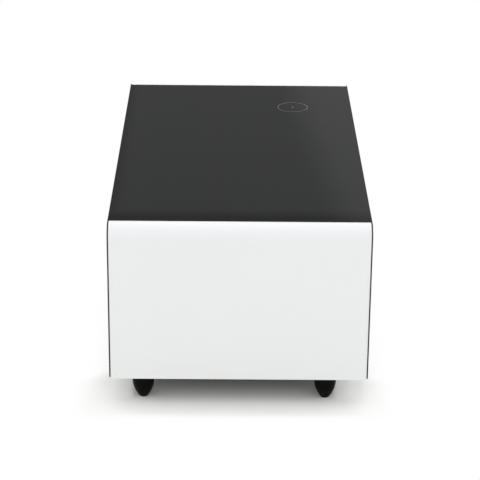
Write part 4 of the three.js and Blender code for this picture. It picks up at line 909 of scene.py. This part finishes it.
# %% Eased copies
def eased_copy(name, part, ease, finish=None, sharp=35):
    """Merges points closer than a hundredth of a millimetre and dissolves edges flatter than 1 degree."""
    mesh = frame["nodes"][part].data.copy()
    mesh.materials.clear()
    shell = bmesh.new()
    shell.from_mesh(mesh)
    bmesh.ops.remove_doubles(shell, verts=shell.verts, dist=0.00001)
    bmesh.ops.dissolve_limit(shell, angle_limit=math.radians(1), verts=shell.verts, edges=shell.edges)
    shell.to_mesh(mesh)
    shell.free()
    make_piece(name, mesh, part, finish, sharp=sharp, ease=ease)


for name, part, ease in (
    ("front_rail_trim", "front_top_rail", 0.0003),
    ("back_rail_trim", "back_top_rail", 0.0003),
    ("fridge_front_pane", "fridge_front_glass", 0.0003),
    ("socket_panel", "outlet_panel", 0.0003),
    ("storage_left_tray", "storage_left_box", 0.0010),
    ("storage_right_tray", "storage_right_box", 0.0010),
):
    eased_copy(name, part, ease)

# %% [markdown]
# ## Smooth pipes
# The CAD draws the pipes, the drier, the condenser and the fan with few sides to stay light. Shaded
# smooth up to the angle between two sides, they look round, while their cut ends stay sharp. More
# sides could be modelled too, but these parts lie deep in the machine bays.

# %% Smooth copies
tube_sharp, blade_sharp = 65, 35
for name, part, finish, sharp in (
    ("hot_gas_pipe", "discharge_pipe", None, tube_sharp),
    ("return_pipe", "suction_pipe", None, tube_sharp),
    ("drier_body", "filter_drier", None, tube_sharp),
    ("finned_coil", "condenser", coated, tube_sharp),
    ("fan_housing", "fan_frame", None, blade_sharp),
    ("fan_rotor", "fan_wheel", None, blade_sharp),
    ("mounting_bracket", "compressor_bracket", None, tube_sharp),
):
    eased_copy(name, part, 0, finish, sharp)

# %% [markdown]
# ## Compressor
# The compressor is a pump sealed in two deep-drawn steel cups. The upper cup sits inside the lower
# one's collar, and a weld runs round the seam. A turned profile gives the shell, and two short
# tubes the ports where the pipes are brazed in. The cover over the terminals is a block with round
# corners: a stack of four rounded rings, smaller at both ends.

# %% Compressor
shell_low, shell_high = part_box("compressor")
shell_height = shell_high.z - shell_low.z
shell_radius = 0.062
bracket_middle = middle_of("compressor_bracket")
shell_foot = Vector((bracket_middle.x, bracket_middle.y, shell_low.z))
base_start, base_rise = 0.45, 0.17
collar_steps = ((1, 0.071), (1.05, 0.0728), (1.05, 0.078), (1.02, 0.0784))
weld_share, weld_radius = 0.99, 0.0018
dome_start, dome_share, narrowing = 0.76, 0.965, 0.55
terminal_half, terminal_height = 0.022, 0.046
cover_radius, cover_ease = 0.006, 0.0012
port_radius, port_reach = 0.0052, 0.076


def shell_profile():
    """Lower cup: an ellipse from the foot to the wall. Then the collar with its weld, and the upper
    cup, whose dome narrows as a power of the cosine while it rises as the sine."""
    turn = np.radians(np.linspace(0, 90, 15))
    cosine, sine = np.maximum(np.cos(turn), 0.001), np.sin(turn)
    base = [base_start + (1 - base_start) * sine, base_rise * (1 - np.cos(turn))]
    dome = [dome_share * cosine**narrowing, dome_start + (1 - dome_start) * sine]
    base, dome = (np.stack(part, axis=-1) * (shell_radius, shell_height) for part in (base, dome))
    collar = [(shell_radius * share, level) for share, level in collar_steps]
    weld = arc((shell_radius * weld_share, collar[-1][1]), weld_radius, 0, 150, 6)
    return np.concatenate([base, collar, weld, dome])


def cover_mesh(low, high):
    """Rings across X at both ends, smaller by the ease, and full ones that far in."""
    levels = ((cover_ease, low.x), (0, low.x + cover_ease), (0, high.x - cover_ease), (cover_ease, high.x))
    rings = [ring_across((low, high), inset, cover_radius, level, "X") for inset, level in levels]
    return grid_mesh(np.array(rings))


make_piece("compressor_shell", turned_mesh(shell_profile(), shell_foot, 96), "compressor", sharp=50)
cover_low = Vector((shell_low.x, shell_foot.y - terminal_half, shell_foot.z + shell_height / 4))
cover_high = cover_low + Vector((0, 2 * terminal_half, terminal_height))
cover_high.x = shell_foot.x - shell_radius / 2
mesh = cover_mesh(cover_low, cover_high)
make_piece("terminal_cover", mesh, "compressor", slot="black_plastic", extra=True)
for name, angle, height_share in (("discharge_port", -0.5, 0.35), ("suction_port", 0.9, 0.7)):
    mesh = turned_mesh([(port_radius, shell_radius / 2), (port_radius, port_reach)], (0, 0, 0), 32)
    place = Matrix.Translation(shell_foot + Vector((0, 0, shell_height * height_share)))
    mesh.transform(place @ Matrix.Rotation(angle, 4, "Z") @ Matrix.Rotation(math.pi / 2, 4, "Y"))
    make_piece(name, mesh, "compressor", slot="copper_tube", extra=True)

# %% [markdown]
# ## Inlet blades
# The power inlet has three plated blades: two in a row and the earth blade a little above them.
# They stand in the inlet's back wall and stop short of its mouth, so that a plug covers them before
# it touches them.

# %% Inlet blades
inlet_low, inlet_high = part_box("power_inlet")
inlet_level = middle_of("power_inlet").z
blade_half_width, blade_half_height, blade_corner = 0.0010, 0.0020, 0.0006
back_gap, mouth_gap = 0.003, 0.004
blade_pitch, earth_rise = 0.007, 0.002
blade_places = [(-blade_pitch, inlet_level - earth_rise), (blade_pitch, inlet_level - earth_rise),
                (0, inlet_level + earth_rise)]
blade_section = rounded_ring(blade_half_width, blade_half_height, blade_corner)
mesh = slab(blade_section, inlet_low.y + back_gap, inlet_high.y - mouth_gap, blade_places)
make_piece("inlet_blades", mesh, "power_inlet", slot="zinc_steel", extra=True)

# %% [markdown]
# ## Speakers
# Behind each grille sits a full-range driver: a steel basket with its magnet, a paper cone with a
# dust cap, and a rubber surround that lets the cone move. All are turned about one line from front
# to back. Each is its own piece because each has its own finish.

# %% Speakers
paper = plain_finish("speaker cone paper", (0.016, 0.016, 0.017), (0.030, 0.029, 0.028), (0.75, 0.9), 900,
                     0.00008, cloud=60)
speaker_sides = 64
near_axis = 0.0005
cap_radius, cap_depth, cap_bulge = 0.0138, 0.0178, 0.0066
neck_depth = cap_depth + cap_bulge
flare_width, flare_rise, flare_power = 0.0324, 0.0192, 0.8
paper_thickness, neck_thickness = 0.0009, 0.0010
roll_centre, roll_radius, roll_inner = (0.0499, 0.0050), 0.0039, 0.0031
# Each profile is a row of (radius, depth) points; the basket's goes round its magnet at the end
basket = [(near_axis, 0.0365), (0.027, 0.0365), (0.048, 0.006), (0.0537, 0.0046), (0.0537, 0.0002),
          (0.058, 0.0002), (0.058, 0.003), (0.0505, 0.0068), (0.0305, 0.038), (0.0425, 0.038),
          (0.0425, 0.0555), (near_axis, 0.0555)]
cap = [(cap_radius * share, cap_depth + cap_bulge * share**2) for share in np.linspace(0.05, 1, 8)]
flare = [(cap_radius + flare_width * share, neck_depth - flare_rise * share**flare_power)
         for share in np.linspace(0.08, 1, 10)]
paper_back = [(radius, depth + paper_thickness) for radius, depth in flare[::-1]]
cone = [*cap, *flare, *paper_back, (near_axis, neck_depth + neck_thickness)]
roll = np.concatenate([arc(roll_centre, roll_radius, 180, 360, 13),
                       arc(roll_centre, roll_inner, 360, 180, 13)])
speaker_parts = (
    ("basket", basket, finish_of_slot["compressor_enamel"], 35),
    ("cone", cone, paper, 35),
    ("surround", roll, finish_of_slot["foot_rubber"], 60),
)

for part in ("left_speaker", "right_speaker"):
    middle = middle_of(part)
    place = (middle.x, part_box(part)[0].y, middle.z)
    for kind, profile, finish, sharp in speaker_parts:
        mesh = turned_mesh(profile, place, speaker_sides, "Y", closed=kind == "surround")
        make_piece(f"{part}_{kind}", mesh, part, finish, extra=kind != "basket", sharp=sharp)

# %% [markdown]
# ## Floor
# The table stands on a pale floor that fades to pure white around it, with a soft shadow under the
# body. A diffuse plane keeps the shadow. Beyond it, rays from the camera and from mirrors meet plain
# white instead, by way of Light Path, so the white comes from the floor and not from stronger lamps.
# How far the shadow may spread is written in the floor's own coordinates, so it holds for any view:
# at the long sides it thins in two steps, one under the body's edge and one beyond it, which
# reaches further near the feet. Ambient occlusion keeps the shadow under whatever hangs close above
# the open floor, such as a drawer.

# %% Floor
floor_reach = 60.0
shadow_middle = 0.012  # the right box is the stronger one and pushes the shadow to the left
shadow_edge = (half_width - 0.075, half_width - 0.052)
shadow_edge_share = 0.31
shadow_edge_stop = (half_length - 0.06, half_length)
shadow_side_start = half_width - 0.048
middle_reach, feet_reach = half_width + 0.012, half_width + 0.092
feet_stretch = (half_length - 0.19, half_length - 0.105)
shadow_front_end = (half_length + 0.038, half_length + 0.086)
body_side = (half_width - 0.02, half_width + 0.02)
cover_height = 0.2
open_shares = (0.35, 0.6)


def seen_directly(material):
    """1 for rays from the camera, from a mirror or through something clear, 0 for scattered light."""
    path = node(material, "LightPath")
    seen = combine(material, "MAXIMUM", path.outputs["Is Camera Ray"], path.outputs["Is Glossy Ray"])
    return combine(material, "MAXIMUM", seen, path.outputs["Is Transmission Ray"])


def floor_finish():
    """Paint under the shadow, plain white light where no shadow may reach, for direct rays only."""
    material = new_finish("floor paint", Specular_IOR_Level=0.0, Roughness=1.0)
    paint = blend_colours(material, noise(material, 0.8, 2), (0.93, 0.925, 0.90), (0.945, 0.94, 0.915))
    shader_input(material, "Base Color", paint)

    def fade(place, span, low=0.0, high=1.0):
        """Eases from low to high over the span."""
        return between(material, place, low, high, *span, interpolation_type="SMOOTHSTEP")

    along, across, _ = axes(material)
    ahead = combine(material, "ABSOLUTE", along)
    beside = combine(material, "ABSOLUTE", combine(material, "SUBTRACT", across, shadow_middle))
    stop = fade(ahead, shadow_edge_stop, shadow_edge_share, 0)
    edge = combine(material, "MULTIPLY", fade(beside, shadow_edge), stop)
    reach = fade(ahead, feet_stretch, middle_reach, feet_reach)
    side = fade(beside, (shadow_side_start, reach), edge, 1)
    outside = combine(material, "MAXIMUM", side, fade(ahead, shadow_front_end))
    nearby = node(material, "AmbientOcclusion", {"Distance": cover_height}, samples=12).outputs["AO"]
    open_above = between(material, nearby, 0, 1, *open_shares)
    uncovered = combine(material, "MAXIMUM", open_above, fade(beside, body_side, 1, 0))
    share = combine(material, "MULTIPLY", outside, uncovered, seen_directly(material))
    white_light = node(material, "Emission", {"Color": (1, 1, 1, 1), "Strength": 1.0})
    nodes = material.node_tree.nodes
    shaders = {0: share, 1: nodes["Principled BSDF"].outputs[0], 2: white_light.outputs[0]}
    mixed = node(material, "MixShader", shaders)
    material.node_tree.links.new(mixed.outputs[0], nodes["Material Output"].inputs["Surface"])
    return material


floor_corners = [(x * floor_reach, y * floor_reach, 0) for x, y in ((-1, -1), (1, -1), (1, 1), (-1, 1))]
floor_mesh = bpy.data.meshes.new("floor")
floor_mesh.from_pydata(floor_corners, [], [(0, 1, 2, 3)])
floor_mesh.materials.append(floor_finish())
floor = bpy.data.objects.new("floor", floor_mesh)
bpy.context.scene.collection.objects.link(floor)
print("floor reaches", floor_reach, "m")

# %% [markdown]
# ## Light
# The photograph was lit by two broad soft boxes at the sides, the right one stronger: the shadow is
# dark deep under the body and fades at its long sides. The black glass mirrors the room beyond the
# table, and so shows that its far wall is dim. The world is therefore a room written by direction:
# a horizon, four walls and a ceiling. Lamps could stand for the boxes, but a world lights every side
# alike and casts no hard edges. The horizon is white for the camera and for mirrors, by Light Path.

# %% World helpers
horizon_light = 0.45
far_wall_light, upper_far_light = 0.17, 2.50
camera_wall_light, upper_camera_light = 1.15, 0.30
left_box_light, right_box_light = 1.70, 2.20
step_light, step_slant = 0.09, 0.42
ceiling_light = 1.00
end_wall_rise, box_rise = (0.62, 0.76), (0.25, 0.5)
horizon_rise, ceiling_rise, step_edge = (0.20, 0.25), (0.77, 0.86), (0.083, 0.101)

world = bpy.data.worlds.new("studio")
world.use_nodes = True
bpy.context.scene.world = world


def calculate(operation, *values):
    """Math nodes in the world's tree."""
    return combine(world, operation, *values)


def ramp(value, span, low, high):
    """low at the span's start, high at its end, and straight between."""
    return between(world, value, low, high, *span)


def towards(component, sign, level):
    """The component's square as a share of the level part of the direction, on the sign's side only:
    1 straight towards that wall, 0 square to it."""
    part = calculate("MAXIMUM", calculate("MULTIPLY", component, sign))
    return calculate("DIVIDE", calculate("MULTIPLY", part, part), level)


print("the studio world has its helpers")

# %% [markdown]
# ## The room
# The direction's rise tells the heights apart: the horizon ends at a rise of 0.2, and the ceiling
# starts at about 0.8. Between them each wall shines by how squarely the direction points at it.

# %% Room
toward = node(world, "SeparateXYZ", {"Vector": node(world, "TexCoord").outputs["Generated"]})
along, across, rise = (toward.outputs[axis] for axis in "XYZ")
level = calculate("MAXIMUM", calculate("SUBTRACT", 1.0, calculate("MULTIPLY", rise, rise)), 0.001)
walls = [
    calculate("MULTIPLY", towards(component, sign, level), ramp(rise, span, low, high))
    for component, sign, span, low, high in (
        (along, 1.0, end_wall_rise, far_wall_light, upper_far_light),
        (along, -1.0, end_wall_rise, camera_wall_light, upper_camera_light),
        (across, 1.0, box_rise, left_box_light / 4, left_box_light),
        (across, -1.0, box_rise, right_box_light / 4, right_box_light),
    )
]
slanted = calculate("ADD", across, calculate("MULTIPLY", rise, step_slant))
walls.append(ramp(slanted, step_edge, step_light, 0))
over_horizon = ramp(rise, horizon_rise, 0, 1)
in_horizon = calculate("SUBTRACT", 1.0, over_horizon)
in_ceiling = ramp(rise, ceiling_rise, 0, 1)
upright = calculate("MULTIPLY", calculate("ADD", *walls), calculate("SUBTRACT", over_horizon, in_ceiling))
horizon = calculate("MULTIPLY", in_horizon, horizon_light)
ceiling = calculate("MULTIPLY", in_ceiling, ceiling_light)
white_share = calculate("MULTIPLY", seen_directly(world), in_horizon)
shares = {0: white_share, 2: calculate("ADD", upright, horizon, ceiling), 3: 1.0}
shown = node(world, "Mix", shares, data_type="FLOAT")
background = world.node_tree.nodes["Background"]
background.inputs["Color"].default_value = (1, 1, 1, 1)
world.node_tree.links.new(shown.outputs[0], background.inputs["Strength"])
bpy.context.scene.view_settings.view_transform = "Standard"
print("the room has", len(world.node_tree.nodes), "nodes")
